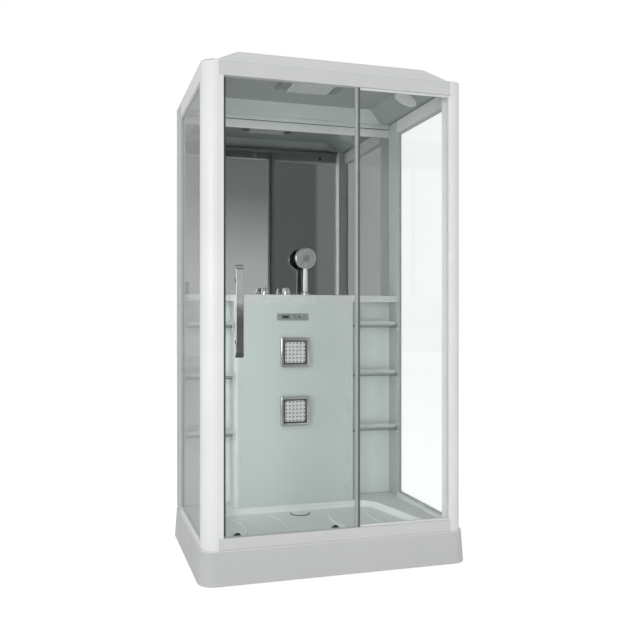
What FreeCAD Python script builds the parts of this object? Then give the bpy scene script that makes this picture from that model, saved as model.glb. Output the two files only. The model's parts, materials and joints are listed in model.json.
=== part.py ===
import FreeCAD, Part
import math
import os
import re

import Sketcher

# Shower cabin with a tray, a glazed aluminium frame, a sliding door, a console and a moulded roof.
# Millimetres, +Z up. The origin is on the floor under the middle of the tray, the front faces -Y.

# Driving sizes, one cell each
SIZES = {
    # Tray
    "tray_width": 1200,
    "tray_depth": 900,
    "tray_corner_round": 70,
    "skirt_flare": 10,
    "tray_ledge": 6,
    "rim_height": 144,
    "rim_edge_round": 4,
    "skirt_floor_gap": 3,
    "tray_wall": 5,
    "basin_depth": 31,
    "basin_front_margin": 20,
    "basin_rear_margin": 6,
    "basin_side_margin": 69,
    "basin_taper": 122,
    "basin_front_round": 45,
    "basin_rear_round": 120,
    "basin_floor_round": 14,
    "tread_setback": 66.5,
    "tread_middle_gap": 126,
    "tread_side_gap": 70,
    "tread_outer_rise": 49.2405,
    "tread_inner_rise": 40.6623,
    "tread_band": 14,
    "tread_height": 2.5,
    "tread_round": 1.8,
    "tread_end_gap": 24,
    "tread_reach_step": 65,
    "waste_notch_width": 120,
    "waste_notch_height": 90,
    # Drain
    "drain_inset": 64,
    "drain_cover_diameter": 90,
    "drain_cover_thickness": 4,
    "drain_hole_diameter": 78,
    "trap_diameter": 86,
    "trap_wall": 3,
    "trap_bottom": 26,
    "waste_diameter": 40,
    "waste_axis_height": 52,
    "waste_reach": 175,
    "waste_union_diameter": 54,
    "waste_union_reach": 24,
    # Support frame and feet
    "beam_size": 25,
    "beam_overhang": 30,
    "front_beam_inset": 150,
    "rear_beam_gap": 95,
    "cross_beam_inset": 200,
    "cross_beam_clearance": 25,
    "foot_inset": 45,
    "foot_pad_diameter": 52,
    "foot_pad_height": 10,
    "foot_rod_diameter": 12,
    "foot_nut_width": 20,
    "foot_nut_height": 9,
    # Cabin frame
    "frame_height": 2000,
    "post_width": 65,
    "post_depth": 90,
    "post_round": 62,
    "profile_wall": 2.5,
    "profile_edge_round": 1.5,
    "back_post_width": 24,
    "back_post_depth": 164,
    "front_rail_depth": 62,
    "front_box_depth": 32,
    "front_bottom_height": 49,
    "front_top_height": 58,
    "side_rail_width": 28,
    "side_bottom_height": 23,
    "side_top_height": 67,
    "back_rail_depth": 34,
    "back_top_height": 58,
    "back_bottom_height": 46,
    "back_stile_width": 40,
    "jamb_width": 19,
    "track_base": 6,
    "track_thickness": 2.5,
    "track_front_gap": 8.5,
    "track_lip": 21,
    # Glass
    "glass_thickness": 5,
    "side_glass_inset": 7,
    "gasket_gap": 4,
    "gasket_lap": 5,
    "gasket_wall": 1.5,
    "front_glass_inset": 14,
    "fixed_glass_offset": 64.5,
    "seal_width": 20,
    "seal_wall": 2,
    # Sliding door
    "door_closing_gap": 0.3,
    "door_overlap": 32,
    "door_glass_depth": 50,
    "door_edge_width": 16,
    "door_edge_wall": 3,
    "door_edge_lap": 8,
    "door_lower_gap": 18,
    "door_upper_lap": 20,
    "roller_tread_radius": 11,
    "roller_flange_radius": 13,
    "roller_width": 9,
    "roller_groove": 4,
    "roller_gap": 0.3,
    "roller_bore_radius": 3.05,
    "roller_pin_radius": 3,
    "roller_left_inset": 58.7,
    "roller_right_inset": 120,
    "roller_bottom_drop": 5,
    "roller_top_rise": 16,
    "roller_cap_radius": 9,
    "roller_cap_height": 5,
    "roller_collar_radius": 5,
    "handle_inset": 68.7,
    "handle_width": 33,
    "handle_thickness": 8,
    "handle_length": 384,
    "handle_return": 25,
    "handle_bend_round": 20,
    "handle_centre_z": 1121,
    "handle_standoff_spacing": 256,
    "handle_standoff_radius": 9,
    "handle_stand": 34,
    "handle_foot_radius": 12,
    "handle_foot_height": 4,
    "handle_screw_radius": 4,
    "handle_cap_radius": 10,
    "handle_cap_height": 4,
    # Back wall, console and deck
    "mirror_thickness": 5,
    "console_width": 640,
    "console_depth": 130,
    "console_wall": 4,
    "console_round": 20,
    "console_glass_width": 584,
    "console_glass_margin": 8,
    "deck_height": 1178,
    "deck_thickness": 34,
    "deck_wall": 4,
    "deck_nose": 3,
    "deck_wing_depth": 105,
    "deck_edge_round": 5,
    "deck_corner_round": 12,
    "fitting_gap": 0.3,
    # Body jets
    "fittings_offset": 11,
    "jet_upper_drop": 259,
    "jet_spacing": 298,
    "jet_frame_size": 150,
    "jet_frame_depth": 20,
    "jet_frame_round": 8,
    "jet_window": 112,
    "jet_floor": 3,
    "jet_body_radius": 28,
    "jet_body_length": 30,
    "jet_bore_radius": 29,
    "jet_tail_radius": 8,
    "jet_tail_length": 25,
    "jet_plate_size": 106,
    "jet_plate_thickness": 6,
    "jet_plate_round": 5,
    "jet_pin_radius": 4,
    "jet_pin_length": 30,
    "jet_pin_gap": 1.3,
    "jet_cheek_width": 5,
    # Control panel
    "panel_offset": 20,
    "panel_drop": 79,
    "panel_width": 163,
    "panel_height": 35,
    "panel_depth": 6,
    "panel_round": 5,
    "panel_body_width": 150,
    "panel_body_height": 26,
    "panel_body_depth": 22,
    "display_offset": 38,
    "display_width": 50,
    "display_height": 20,
    "display_depth": 2,
    "key_offset": 14,
    "key_pitch": 20,
    "key_radius": 6,
    "key_height": 6,
    "key_proud": 1.5,
    "key_travel": 1,
    "key_slack": 0.3,
    # Taps and hand shower
    "tap_setback": 63,
    "mixer_offset": 148,
    "diverter_offset": 36,
    "knob_radius": 20,
    "knob_height": 32,
    "knob_waist_radius": 17,
    "knob_edge_round": 3,
    "collar_radius": 25,
    "collar_height": 5,
    "spindle_radius": 4,
    "spindle_slack": 0.05,
    "spindle_reach": 22,
    "valve_radius": 19,
    "valve_height": 62,
    "valve_drop": 8,
    "inlet_radius": 10.48,
    "inlet_reach": 78,
    "inlet_shoulder_radius": 14,
    "inlet_shoulder_reach": 6,
    "valve_tail_radius": 8,
    "valve_tail_length": 22,
    "valve_nut_radius": 12,
    "hand_shower_offset": 67,
    "shower_head_radius": 56,
    "shower_head_depth": 24,
    "shower_head_height": 193,
    "shower_face_radius": 46,
    "shower_face_depth": 4,
    "shower_handle_radius": 13,
    "shower_spigot_radius": 10,
    "shower_spigot_length": 38,
    "holder_radius": 21,
    "holder_height": 12,
    "holder_wall": 3,
    # Shelves
    "shelf_low_drop": 673,
    "shelf_mid_drop": 385,
    "shelf_high_drop": 128,
    "shelf_thickness": 6,
    "shelf_depth": 103,
    "shelf_side_gap": 0.3,
    "rail_band_height": 24,
    "rail_band_thickness": 3,
    "rail_band_lift": 2,
    "rail_plate_height": 48,
    "rail_plate_depth": 22,
    "rail_plate_thickness": 5,
    # Roof
    "roof_rise": 56,
    "roof_wall": 4,
    "dome_side_foot": 54,
    "dome_side_top": 162,
    "dome_front_foot": 28,
    "dome_front_top": 92,
    "dome_back_foot": 46,
    "dome_back_top": 140,
    "dome_foot_round": 50,
    "dome_top_round": 30,
    "rain_panel_width": 307,
    "rain_panel_depth": 226,
    "rain_panel_thickness": 8,
    "rain_panel_offset": 41,
    "rain_panel_round": 10,
    "rain_plate_width": 200,
    "rain_plate_depth": 180,
    "rain_plate_thickness": 9,
    "rain_plate_round": 8,
    "rain_inlet_radius": 10,
    "rain_inlet_height": 14,
    "lamp_width": 34,
    "lamp_length": 160,
    "lamp_thickness": 3,
    "lamp_spacing": 250,
    "fan_offset": 38,
    "fan_cover_radius": 58,
    "fan_cover_thickness": 6,
    "fan_slot_width": 5,
    "fan_slot_pitch": 11,
    "fan_bore_radius": 42,
    "fan_housing_radius": 47,
    "fan_housing_wall": 2,
    "fan_housing_height": 30,
    "fan_hub_radius": 14,
    "fan_hub_height": 12,
    "fan_motor_radius": 12,
    "fan_motor_height": 10,
    "fan_blade_radius": 40,
    "fan_blade_thickness": 1.6,
    "fan_blade_height": 9,
    "fan_pin_radius": 2,
    "fan_pin_slack": 0.05,
    # Control box and fasteners
    "control_box_inset": 77,
    "control_box_drop": 248,
    "control_box_width": 130,
    "control_box_height": 190,
    "control_box_depth": 46,
    "control_box_wall": 3,
    "gland_radius": 10,
    "gland_bore_radius": 4,
    "gland_length": 18,
    "screw_head_radius": 6,
    "screw_head_height": 3,
    "screw_shank_radius": 2,
    "screw_inset": 16,
}

# How far up a knob its widest band reaches
KNOB_RIM_SHARE = 0.35

# How far down the shower head the handle's top end reaches, of the head's radius
GRIP_SHARE = 0.75

# Places of the roof's screws along each side, of half the frame's depth
SCREW_SHARES = (-0.7, -0.25, 0.25, 0.7)

FAN_BLADES = 7
BLADE_PITCH = 35
FAN_SLOTS = 7

# How near two measurements are when they count as the same
TOLERANCE = 1e-3
ROOF_HOLES = []

# Places that follow from the driving sizes
PLACES = {
    "frame_x": "tray_width / 2 - skirt_flare - tray_ledge",
    "frame_y": "tray_depth / 2 - skirt_flare - tray_ledge",
    "frame_top": "rim_height + frame_height",
    "roof_top": "frame_top + roof_rise",
    "post_inner_x": "frame_x - post_width",
    "post_rear_y": "post_depth - frame_y",
    "back_post_inner_x": "frame_x - back_post_width",
    "back_post_front_y": "frame_y - back_post_depth",
    "front_bottom_top": "rim_height + front_bottom_height",
    "front_top_bottom": "frame_top - front_top_height",
    "front_rail_rear_y": "front_rail_depth - frame_y",
    "front_box_rear_y": "front_box_depth - frame_y",
    "side_bottom_top": "rim_height + side_bottom_height",
    "side_top_bottom": "frame_top - side_top_height",
    "back_rail_front_y": "frame_y - back_rail_depth",
    "back_bottom_top": "rim_height + back_bottom_height",
    "back_top_bottom": "frame_top - back_top_height",
    "jamb_inner_x": "jamb_width - post_inner_x",
    "fixed_glass_left": "(jamb_inner_x + post_inner_x) / 2 + fixed_glass_offset",
    "door_left": "jamb_inner_x + door_closing_gap",
    "door_right": "fixed_glass_left + door_overlap",
    "roller_left_x": "door_left + roller_left_inset",
    "roller_right_x": "door_right - roller_right_inset",
    "handle_x": "door_left + handle_inset",
    "track_front_y": "front_box_rear_y + track_front_gap",
    "track_rear_y": "track_front_y + track_thickness",
    "roller_y": "track_front_y + track_thickness / 2",
    "roller_bottom_z": "front_bottom_top - roller_bottom_drop",
    "roller_top_z": "front_top_bottom + roller_top_rise",
    "track_bottom_tip": "roller_bottom_z - roller_tread_radius - roller_gap",
    "track_top_tip": "roller_top_z + roller_tread_radius + roller_gap",
    "mirror_front_y": "back_rail_front_y - mirror_thickness",
    "console_front_y": "mirror_front_y - console_depth",
    "console_half_width": "console_width / 2",
    "console_glass_half": "console_glass_width / 2",
    "back_stile_x": "console_half_width",
    "basin_floor": "rim_height - basin_depth",
    "basin_front_y": "front_rail_rear_y + basin_front_margin",
    "basin_rear_y": "console_front_y - basin_rear_margin",
    "basin_front_half": "frame_x - basin_side_margin",
    "basin_rear_half": "basin_front_half - basin_taper",
    "tread_centre_y": "(basin_front_y + basin_rear_y) / 2 + tread_setback",
    "tread_outer_reach": "basin_rear_y - tread_centre_y - tread_end_gap",
    "tread_inner_reach": "tread_outer_reach - tread_reach_step",
    "tread_outer_radius": "(tread_outer_reach ^ 2 / tread_outer_rise + tread_outer_rise) / 2",
    "tread_inner_radius": "(tread_inner_reach ^ 2 / tread_inner_rise + tread_inner_rise) / 2",
    "tread_outer_centre_x": "tread_middle_gap + tread_outer_radius",
    "tread_inner_centre_x": "basin_rear_half - tread_side_gap + tread_inner_radius",
    "drain_y": "basin_rear_y - drain_inset",
    "front_beam_y": "front_beam_inset - tray_depth / 2",
    "rear_beam_y": "drain_y - rear_beam_gap",
    "cross_beam_x": "tray_width / 2 - cross_beam_inset",
    "long_beam_length": "2 * (cross_beam_x + beam_overhang)",
    "cross_beam_length": "tray_depth - 2 * cross_beam_clearance",
    "foot_y": "tray_depth / 2 - foot_inset",
    "side_glass_x": "frame_x - side_glass_inset",
    "front_glass_y": "front_glass_inset - frame_y",
    "door_glass_y": "door_glass_depth - frame_y",
    "door_glass_left": "door_left + door_edge_width - door_edge_lap",
    "door_glass_right": "door_right - door_edge_width + door_edge_lap",
    "door_glass_bottom": "rim_height + track_base + door_lower_gap",
    "door_glass_top": "roller_top_z + door_upper_lap",
    "deck_top": "deck_height + deck_thickness",
    "deck_front_y": "console_front_y - deck_nose",
    "deck_wing_y": "mirror_front_y - deck_wing_depth",
    "fittings_x": "-fittings_offset",
    "jet_upper_z": "deck_height - jet_upper_drop",
    "jet_lower_z": "jet_upper_z - jet_spacing",
    "panel_centre_x": "-panel_offset",
    "panel_centre_z": "deck_height - panel_drop",
    "tap_y": "mirror_front_y - tap_setback",
    "mixer_x": "-mixer_offset",
    "diverter_x": "-diverter_offset",
    "hand_shower_x": "hand_shower_offset",
    "shelf_low_z": "deck_height - shelf_low_drop",
    "shelf_mid_z": "deck_height - shelf_mid_drop",
    "shelf_high_z": "deck_height - shelf_high_drop",
    "shelf_front_y": "mirror_front_y - shelf_depth",
    "control_box_x": "console_glass_half - control_box_inset",
    "control_box_z": "deck_height - control_box_drop",
    "rain_panel_y": "-rain_panel_offset",
    "lamp_x": "lamp_spacing / 2",
    "fan_y": "-fan_offset",
    "console_glass_low": "rim_height + console_glass_margin",
    "console_glass_high": "deck_height - console_glass_margin",
    "console_recess_y": "console_front_y + glass_thickness",
    "jet_front_y": "console_front_y - jet_frame_depth",
    "jet_floor_y": "console_front_y - jet_floor",
    "jet_pivot_y": "jet_floor_y - jet_pin_radius - jet_pin_gap",
    "jet_plate_y": "jet_front_y + jet_floor",
    "panel_front_y": "console_front_y - panel_depth",
    "knob_base": "deck_top + collar_height + fitting_gap",
    "valve_top": "deck_height - valve_drop",
    "valve_inlet_z": "valve_top - valve_height / 2",
    "shower_head_z": "deck_top + shower_head_height",
    "shower_front_y": "tap_y - shower_head_depth / 2",
    "holder_top": "deck_top + holder_height",
    "shelf_back_y": "mirror_front_y - shelf_side_gap",
    "shelf_inner_x": "console_half_width + shelf_side_gap",
    "shelf_outer_x": "back_post_inner_x - shelf_side_gap",
    "ceiling": "roof_top - roof_wall",
    "rain_panel_bottom": "ceiling - rain_panel_thickness",
    "rain_plate_bottom": "rain_panel_bottom - rain_plate_thickness",
    "dome_run": "dome_side_top - dome_side_foot",
    "dome_rise": "roof_rise - roof_wall",
    "slope_length": "sqrt(dome_run * dome_run + dome_rise * dome_rise)",
    "fan_x": "frame_x - (dome_side_foot + dome_side_top) / 2",
    "fan_z": "frame_top + roof_wall + dome_rise / 2",
}

doc = FreeCAD.newDocument("shower_cabin")
sheet = doc.addObject("Spreadsheet::Sheet", "Sizes")
for row, (alias, value) in enumerate(SIZES.items(), start=1):
    sheet.set(f"A{row}", alias)
    sheet.set(f"B{row}", str(value))
    sheet.setAlias(f"B{row}", alias)


def linked(text, inside=False):
    """The expression with each size and place named by its sheet."""
    def full(match):
        word = match.group(0)
        if word in SIZES:
            return "Sizes." + word
        if word in PLACES and not inside:
            return "Places." + word
        return word
    return re.sub(r"[a-z]\w*", full, text)


places = doc.addObject("Spreadsheet::Sheet", "Places")
for row, (alias, formula) in enumerate(PLACES.items(), start=1):
    places.set(f"A{row}", alias)
    places.setAlias(f"B{row}", alias)
    places.set(f"B{row}", "=" + linked(formula, inside=True))
doc.recompute()


def number(text):
    """The value of an expression now."""
    result = places.evalExpression(linked(text, inside=True))
    return float(getattr(result, "Value", result))


def bind(item, field, text):
    """Tie a field of an object to an expression of named sizes."""
    item.setExpression(field, linked(text))


def place(item, x="0", y="0", z="0"):
    """Tie an object's position to three expressions."""
    for axis, text in zip("xyz", (x, y, z)):
        if text != "0":
            bind(item, f"Placement.Base.{axis}", text)


def span(middle, size):
    """The two ends of a size about its middle."""
    return f"({middle}) - ({size}) / 2", f"({middle}) + ({size}) / 2"


# Solid primitives and booleans

def box(name, x, y, z):
    """A block that runs from the first to the second expression along each axis."""
    solid = doc.addObject("Part::Box", name)
    for field, (low, high) in zip(("Length", "Width", "Height"), (x, y, z)):
        bind(solid, field, f"({high}) - ({low})")
    place(solid, x[0], y[0], z[0])
    return solid


TURNS = {
    "x": FreeCAD.Rotation(FreeCAD.Vector(0, 1, 0), 90),
    "y": FreeCAD.Rotation(FreeCAD.Vector(1, 0, 0), -90),
    "z": FreeCAD.Rotation(),
}


def cylinder(name, radius, length, x="0", y="0", z="0", along="z"):
    """A round bar that starts at the given point and runs along +X, +Y or +Z."""
    solid = doc.addObject("Part::Cylinder", name)
    bind(solid, "Radius", radius)
    bind(solid, "Height", length)
    solid.Placement.Rotation = TURNS[along]
    place(solid, x, y, z)
    return solid


def fuse(name, parts):
    joined = doc.addObject("Part::MultiFuse", name)
    joined.Shapes = parts
    return joined


def cut(name, base, tools):
    """The base less every tool."""
    remainder = doc.addObject("Part::Cut", name)
    remainder.Base = base
    remainder.Tool = tools[0] if len(tools) == 1 else fuse(name + "_tools", tools)
    return remainder


def group(name, parts):
    """Separate solids that share one node."""
    together = doc.addObject("Part::Compound", name)
    together.Links = parts
    return together


def rounded(name, base, radius, wanted):
    """Fillet the edges of a primitive that the test picks out."""
    doc.recompute()
    solid = doc.addObject("Part::Fillet", name)
    solid.Base = base
    size = number(radius)
    edges = enumerate(base.Shape.Edges, start=1)
    solid.Edges = [(index, size, size) for index, edge in edges if wanted(edge)]
    return solid


def runs_along(axis):
    """A test for straight edges that run along one axis."""
    direction = FreeCAD.Vector(*(float(name == axis) for name in "xyz"))

    def test(edge):
        if not isinstance(edge.Curve, Part.Line):
            return False
        return abs(abs(edge.Curve.Direction.dot(direction)) - 1) < TOLERANCE
    return test


# Sketches and the features made from them

def new_body(label):
    return doc.addObject("PartDesign::Body", label)


def new_sketch(body, plane="XY_Plane", x="0", y="0", z="0"):
    """A sketch on one of the body's own origin planes, shifted along the sketch's own axes."""
    sketch = body.newObject("Sketcher::SketchObject", body.Name + "_sketch")
    planes = {item.Role: item for item in body.Origin.OriginFeatures}
    sketch.AttachmentSupport = [(planes[plane], "")]
    sketch.MapMode = "FlatFace"
    for axis, text in zip("xyz", (x, y, z)):
        if text != "0":
            bind(sketch, f"AttachmentOffset.Base.{axis}", text)
    return sketch


def hold(sketch, kind, *where, text):
    """Add a dimension to the sketch and tie it to an expression."""
    index = sketch.addConstraint(Sketcher.Constraint(kind, *where, number(text)))
    sketch.setExpression(f"Constraints[{index}]", linked(text))


def hold_point(sketch, geometry, position, x, y):
    hold(sketch, "DistanceX", -1, 1, geometry, position, text=x)
    hold(sketch, "DistanceY", -1, 1, geometry, position, text=y)


def outline(sketch, corners):
    """A closed outline through corners, each (x, y) or (x, y, radius), all expressions."""
    count = len(corners)
    points = [FreeCAD.Vector(number(corner[0]), number(corner[1]), 0) for corner in corners]
    marks = []
    for point, corner in zip(points, corners):
        mark = sketch.addGeometry(Part.Point(point), True)
        hold_point(sketch, mark, 1, corner[0], corner[1])
        marks.append(mark)
    bends = []
    for index, corner in enumerate(corners):
        if len(corner) == 2:
            bends.append(None)
            continue
        here = points[index]
        back = (points[index - 1] - here).normalize()
        ahead = (points[(index + 1) % count] - here).normalize()
        radius = number(corner[2])
        half = back.getAngle(ahead) / 2
        middle = (back + ahead).normalize()
        centre = here + middle * (radius / math.sin(half))
        start = here + back * (radius / math.tan(half))
        end = here + ahead * (radius / math.tan(half))
        bends.append((start, centre - middle * radius, end, (back * -1).cross(ahead).z > 0))
    lines = []
    for index in range(count):
        after = (index + 1) % count
        start = bends[index][2] if bends[index] else points[index]
        end = bends[after][0] if bends[after] else points[after]
        lines.append(sketch.addGeometry(Part.LineSegment(start, end), False))
    for index in range(count):
        before = lines[index - 1]
        after = lines[index]
        if not bends[index]:
            sketch.addConstraint(Sketcher.Constraint("Coincident", before, 2, marks[index], 1))
            sketch.addConstraint(Sketcher.Constraint("Coincident", after, 1, marks[index], 1))
            continue
        start, middle, end, leftward = bends[index]
        arc = sketch.addGeometry(Part.Arc(start, middle, end), False)
        first, last = (1, 2) if leftward else (2, 1)
        sketch.addConstraint(Sketcher.Constraint("Tangent", before, 2, arc, first))
        sketch.addConstraint(Sketcher.Constraint("Tangent", after, 1, arc, last))
        sketch.addConstraint(Sketcher.Constraint("PointOnObject", marks[index], 1, before))
        sketch.addConstraint(Sketcher.Constraint("PointOnObject", marks[index], 1, after))
        hold(sketch, "Radius", arc, text=corners[index][2])


def rectangle(sketch, x, y, radius=None):
    """A rectangle between two expressions along each axis, its corners rounded if asked."""
    ends = [(x[0], y[0]), (x[1], y[0]), (x[1], y[1]), (x[0], y[1])]
    outline(sketch, [end + (radius,) if radius else end for end in ends])


def circle(sketch, x, y, radius):
    geometry = sketch.addGeometry(Part.Circle(FreeCAD.Vector(number(x), number(y), 0),
                                              FreeCAD.Vector(0, 0, 1), number(radius)), False)
    hold_point(sketch, geometry, 3, x, y)
    hold(sketch, "Radius", geometry, text=radius)


def pad(body, sketch, length, backwards=False, taper=None):
    doc.recompute()
    feature = body.newObject("PartDesign::Pad", body.Name + "_pad")
    feature.Profile = sketch
    feature.Reversed = backwards
    bind(feature, "Length", length)
    if taper:
        bind(feature, "TaperAngle", taper)
    return feature


def pocket(body, sketch, depth, forwards=False):
    """Cut the sketch's outline into the body, away from the sketch's normal unless told forwards."""
    doc.recompute()
    before = body.Shape.Volume
    feature = body.newObject("PartDesign::Pocket", body.Name + "_pocket")
    feature.Profile = sketch
    feature.Reversed = forwards
    bind(feature, "Length", depth)
    doc.recompute()
    if body.Shape.Volume >= before:
        raise RuntimeError(f"{body.Label}: a pocket cut nothing")
    return feature


def turned(label, axis_x, axis_y, corners, base="0"):
    """A body turned about an upright axis from an outline of (radius, height) corners."""
    body = new_body(label)
    sketch = new_sketch(body, "XZ_Plane", x=axis_x, y=base, z=f"-({axis_y})")
    outline(sketch, corners)
    doc.recompute()
    feature = body.newObject("PartDesign::Revolution", label + "_turn")
    feature.Profile = sketch
    feature.ReferenceAxis = (sketch, ["V_Axis"])
    return body


def fillet(body, radius, wanted):
    """Round the body's edges that the test picks out."""
    doc.recompute()
    base = body.Tip
    names = [f"Edge{index}" for index, edge in enumerate(base.Shape.Edges, start=1) if wanted(edge)]
    feature = body.newObject("PartDesign::Fillet", body.Name + "_fillet")
    feature.Base = (base, names)
    bind(feature, "Radius", radius)
    return feature


def extruded(label, plane, corners, start, length, hollows=()):
    """A body with one outline, and hollows in it, drawn along the plane's normal."""
    body = new_body(label)
    sketch = new_sketch(body, plane, z=start)
    outline(sketch, corners)
    for hollow in hollows:
        outline(sketch, hollow)
    pad(body, sketch, length)
    return body


def level(text):
    """A test for edges that lie wholly at one height."""
    def test(edge):
        height = number(text)
        return max(abs(edge.BoundBox.ZMin - height), abs(edge.BoundBox.ZMax - height)) < TOLERANCE
    return test


# Tray

def basin_outline(grow="0"):
    """The basin's outline, wider at the front, with large rear corners."""
    return [
        (f"-basin_front_half - {grow}", f"basin_front_y - {grow}", f"basin_front_round + {grow}"),
        (f"basin_front_half + {grow}", f"basin_front_y - {grow}", f"basin_front_round + {grow}"),
        (f"basin_rear_half + {grow}", f"basin_rear_y + {grow}", f"basin_rear_round + {grow}"),
        (f"-basin_rear_half - {grow}", f"basin_rear_y + {grow}", f"basin_rear_round + {grow}"),
    ]


def tread(sketch, side, centre_x, radius, reach):
    """One raised arc of the basin floor, about a point beyond the tray's end."""
    centre = FreeCAD.Vector(side * number(centre_x), number("tread_centre_y"), 0)
    half = math.asin(number(reach) / number(radius))
    middle = math.pi if side > 0 else 0
    arcs = []
    for width in (radius, f"{radius} + tread_band"):
        ring = Part.Circle(centre, FreeCAD.Vector(0, 0, 1), number(width))
        arc = sketch.addGeometry(Part.ArcOfCircle(ring, middle - half, middle + half), False)
        hold_point(sketch, arc, 3, f"{side} * {centre_x}", "tread_centre_y")
        hold(sketch, "Radius", arc, text=width)
        for end in (1, 2):
            sign = -1 if (end == 1) == (side < 0) else 1
            hold(sketch, "DistanceY", -1, 1, arc, end, text=f"tread_centre_y + {sign} * {reach}")
        arcs.append(arc)
    for end in (1, 2):
        first = sketch.getPoint(arcs[0], end)
        last = sketch.getPoint(arcs[1], end)
        line = sketch.addGeometry(Part.LineSegment(first, last), False)
        sketch.addConstraint(Sketcher.Constraint("Coincident", line, 1, arcs[0], end))
        sketch.addConstraint(Sketcher.Constraint("Coincident", line, 2, arcs[1], end))


def make_tray():
    body = new_body("shower_tray")
    skirt = new_sketch(body, z="skirt_floor_gap")
    half_x = "tray_width / 2"
    half_y = "tray_depth / 2"
    rectangle(skirt, (f"-{half_x}", half_x), (f"-{half_y}", half_y), "tray_corner_round")
    height = "rim_height - skirt_floor_gap"
    pad(body, skirt, height, taper=f"-atan(skirt_flare / ({height}))")
    fillet(body, "rim_edge_round", level("rim_height"))
    hollow = new_sketch(body, z="skirt_floor_gap")
    inner_x = "tray_width / 2 - skirt_flare - tray_wall"
    inner_y = "tray_depth / 2 - skirt_flare - tray_wall"
    rectangle(hollow, (f"-({inner_x})", inner_x), (f"-({inner_y})", inner_y),
              "tray_corner_round - skirt_flare - tray_wall")
    pocket(body, hollow, "rim_height - tray_wall - skirt_floor_gap", forwards=True)
    tub = new_sketch(body, z="rim_height - tray_wall")
    outline(tub, basin_outline("tray_wall"))
    pad(body, tub, "basin_depth", backwards=True)
    basin = new_sketch(body, z="rim_height")
    outline(basin, basin_outline())
    pocket(body, basin, "basin_depth")
    fillet(body, "basin_floor_round", level("basin_floor"))
    treads = new_sketch(body, z="basin_floor")
    for side in (-1, 1):
        tread(treads, side, "tread_inner_centre_x", "tread_inner_radius", "tread_inner_reach")
        tread(treads, side, "tread_outer_centre_x", "tread_outer_radius", "tread_outer_reach")
    pad(body, treads, "tread_height")
    fillet(body, "tread_round", level("basin_floor + tread_height"))
    drain = new_sketch(body, z="basin_floor")
    circle(drain, "0", "drain_y", "drain_hole_diameter / 2")
    pocket(body, drain, "tray_wall")
    notch = new_sketch(body, "XZ_Plane", z="-tray_depth / 2")
    half_notch = "waste_notch_width / 2"
    rectangle(notch, (f"-{half_notch}", half_notch), ("0", "waste_notch_height"))
    pocket(body, notch, "skirt_flare + tray_wall + tray_ledge", forwards=True)
    return body


def make_drain():
    lip = "drain_cover_diameter / 2"
    corners = [("0", "0"), (lip, "0", "drain_cover_thickness / 3"),
               (lip, "drain_cover_thickness", "drain_cover_thickness / 3"), ("0", "drain_cover_thickness")]
    turned("drain_cover", "0", "drain_y", corners, base="basin_floor + fitting_gap")
    trap = cylinder("trap_outer", "trap_diameter / 2", "basin_floor - tray_wall - trap_bottom",
                    y="drain_y", z="trap_bottom")
    waste = cylinder("waste_outer", "waste_diameter / 2", "waste_reach + trap_diameter / 2", y="drain_y",
                     z="waste_axis_height", along="y")
    union = cylinder("waste_union", "waste_union_diameter / 2", "waste_union_reach + trap_diameter / 2",
                     y="drain_y", z="waste_axis_height", along="y")
    hollow = cylinder("trap_inner", "trap_diameter / 2 - trap_wall", "basin_floor - trap_bottom",
                      y="drain_y", z="trap_bottom + trap_wall")
    bore = cylinder("waste_inner", "waste_diameter / 2 - trap_wall", "waste_reach + trap_diameter",
                    y="drain_y", z="waste_axis_height", along="y")
    cut("drain_trap", fuse("trap_body", [trap, waste, union]), [hollow, bore])


# Support frame and feet

def make_support():
    top = "basin_floor - tray_wall"
    levels = (f"{top} - beam_size", top)
    beams = []
    for index, middle in enumerate(("front_beam_y", "rear_beam_y")):
        beams.append(box(f"long_beam_{index}", span("0", "long_beam_length"), span(middle, "beam_size"),
                         levels))
    for index, side in enumerate((-1, 1)):
        middle = f"{side} * cross_beam_x"
        beams.append(box(f"cross_beam_{index}", span(middle, "beam_size"), span("0", "cross_beam_length"),
                         levels))
    joined = fuse("tray_frame_bars", beams)
    rods = []
    feet = []
    for index, (side, row) in enumerate([(x, y) for x in (-1, 1) for y in (-1, 0, 1)]):
        x = f"{side} * cross_beam_x"
        y = f"{row} * foot_y"
        rods.append(cylinder(f"rod_hole_{index}", "foot_rod_diameter / 2 + fitting_gap", "beam_size",
                             x, y, f"{top} - beam_size"))
        pad_disc = cylinder(f"foot_pad_{index}", "foot_pad_diameter / 2", "foot_pad_height", x, y)
        rod = cylinder(f"foot_rod_{index}", "foot_rod_diameter / 2",
                       f"{top} - foot_pad_height - foot_nut_height", x, y, "foot_pad_height")
        nut = doc.addObject("Part::Prism", f"foot_nut_{index}")
        bind(nut, "Circumradius", "foot_nut_width / sqrt(3)")
        bind(nut, "Height", "foot_nut_height")
        place(nut, x, y, f"{top} - beam_size - foot_nut_height")
        feet.append(fuse(f"foot_{index}", [pad_disc, rod, nut]))
    cut("tray_frame", joined, rods)
    group("levelling_feet", feet)


# Cabin frame

def make_front_post(label, side):
    """A quarter-round hollow post. Side is -1 for the left and 1 for the right."""
    def mirrored(corners):
        return corners if side < 0 else [(f"-({corner[0]})",) + corner[1:] for corner in reversed(corners)]
    edge = "profile_edge_round"
    outer = [("-frame_x", "-frame_y", "post_round"), ("-post_inner_x", "-frame_y", edge),
             ("-post_inner_x", "post_rear_y", edge), ("-frame_x", "post_rear_y", edge)]
    wall = "profile_wall"
    inner = [(f"-frame_x + {wall}", f"-frame_y + {wall}", f"post_round - {wall}"),
             (f"-post_inner_x - {wall}", f"-frame_y + {wall}"),
             (f"-post_inner_x - {wall}", f"post_rear_y - {wall}"),
             (f"-frame_x + {wall}", f"post_rear_y - {wall}")]
    extruded(label, "XY_Plane", mirrored(outer), "rim_height", "frame_height", [mirrored(inner)])


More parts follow.
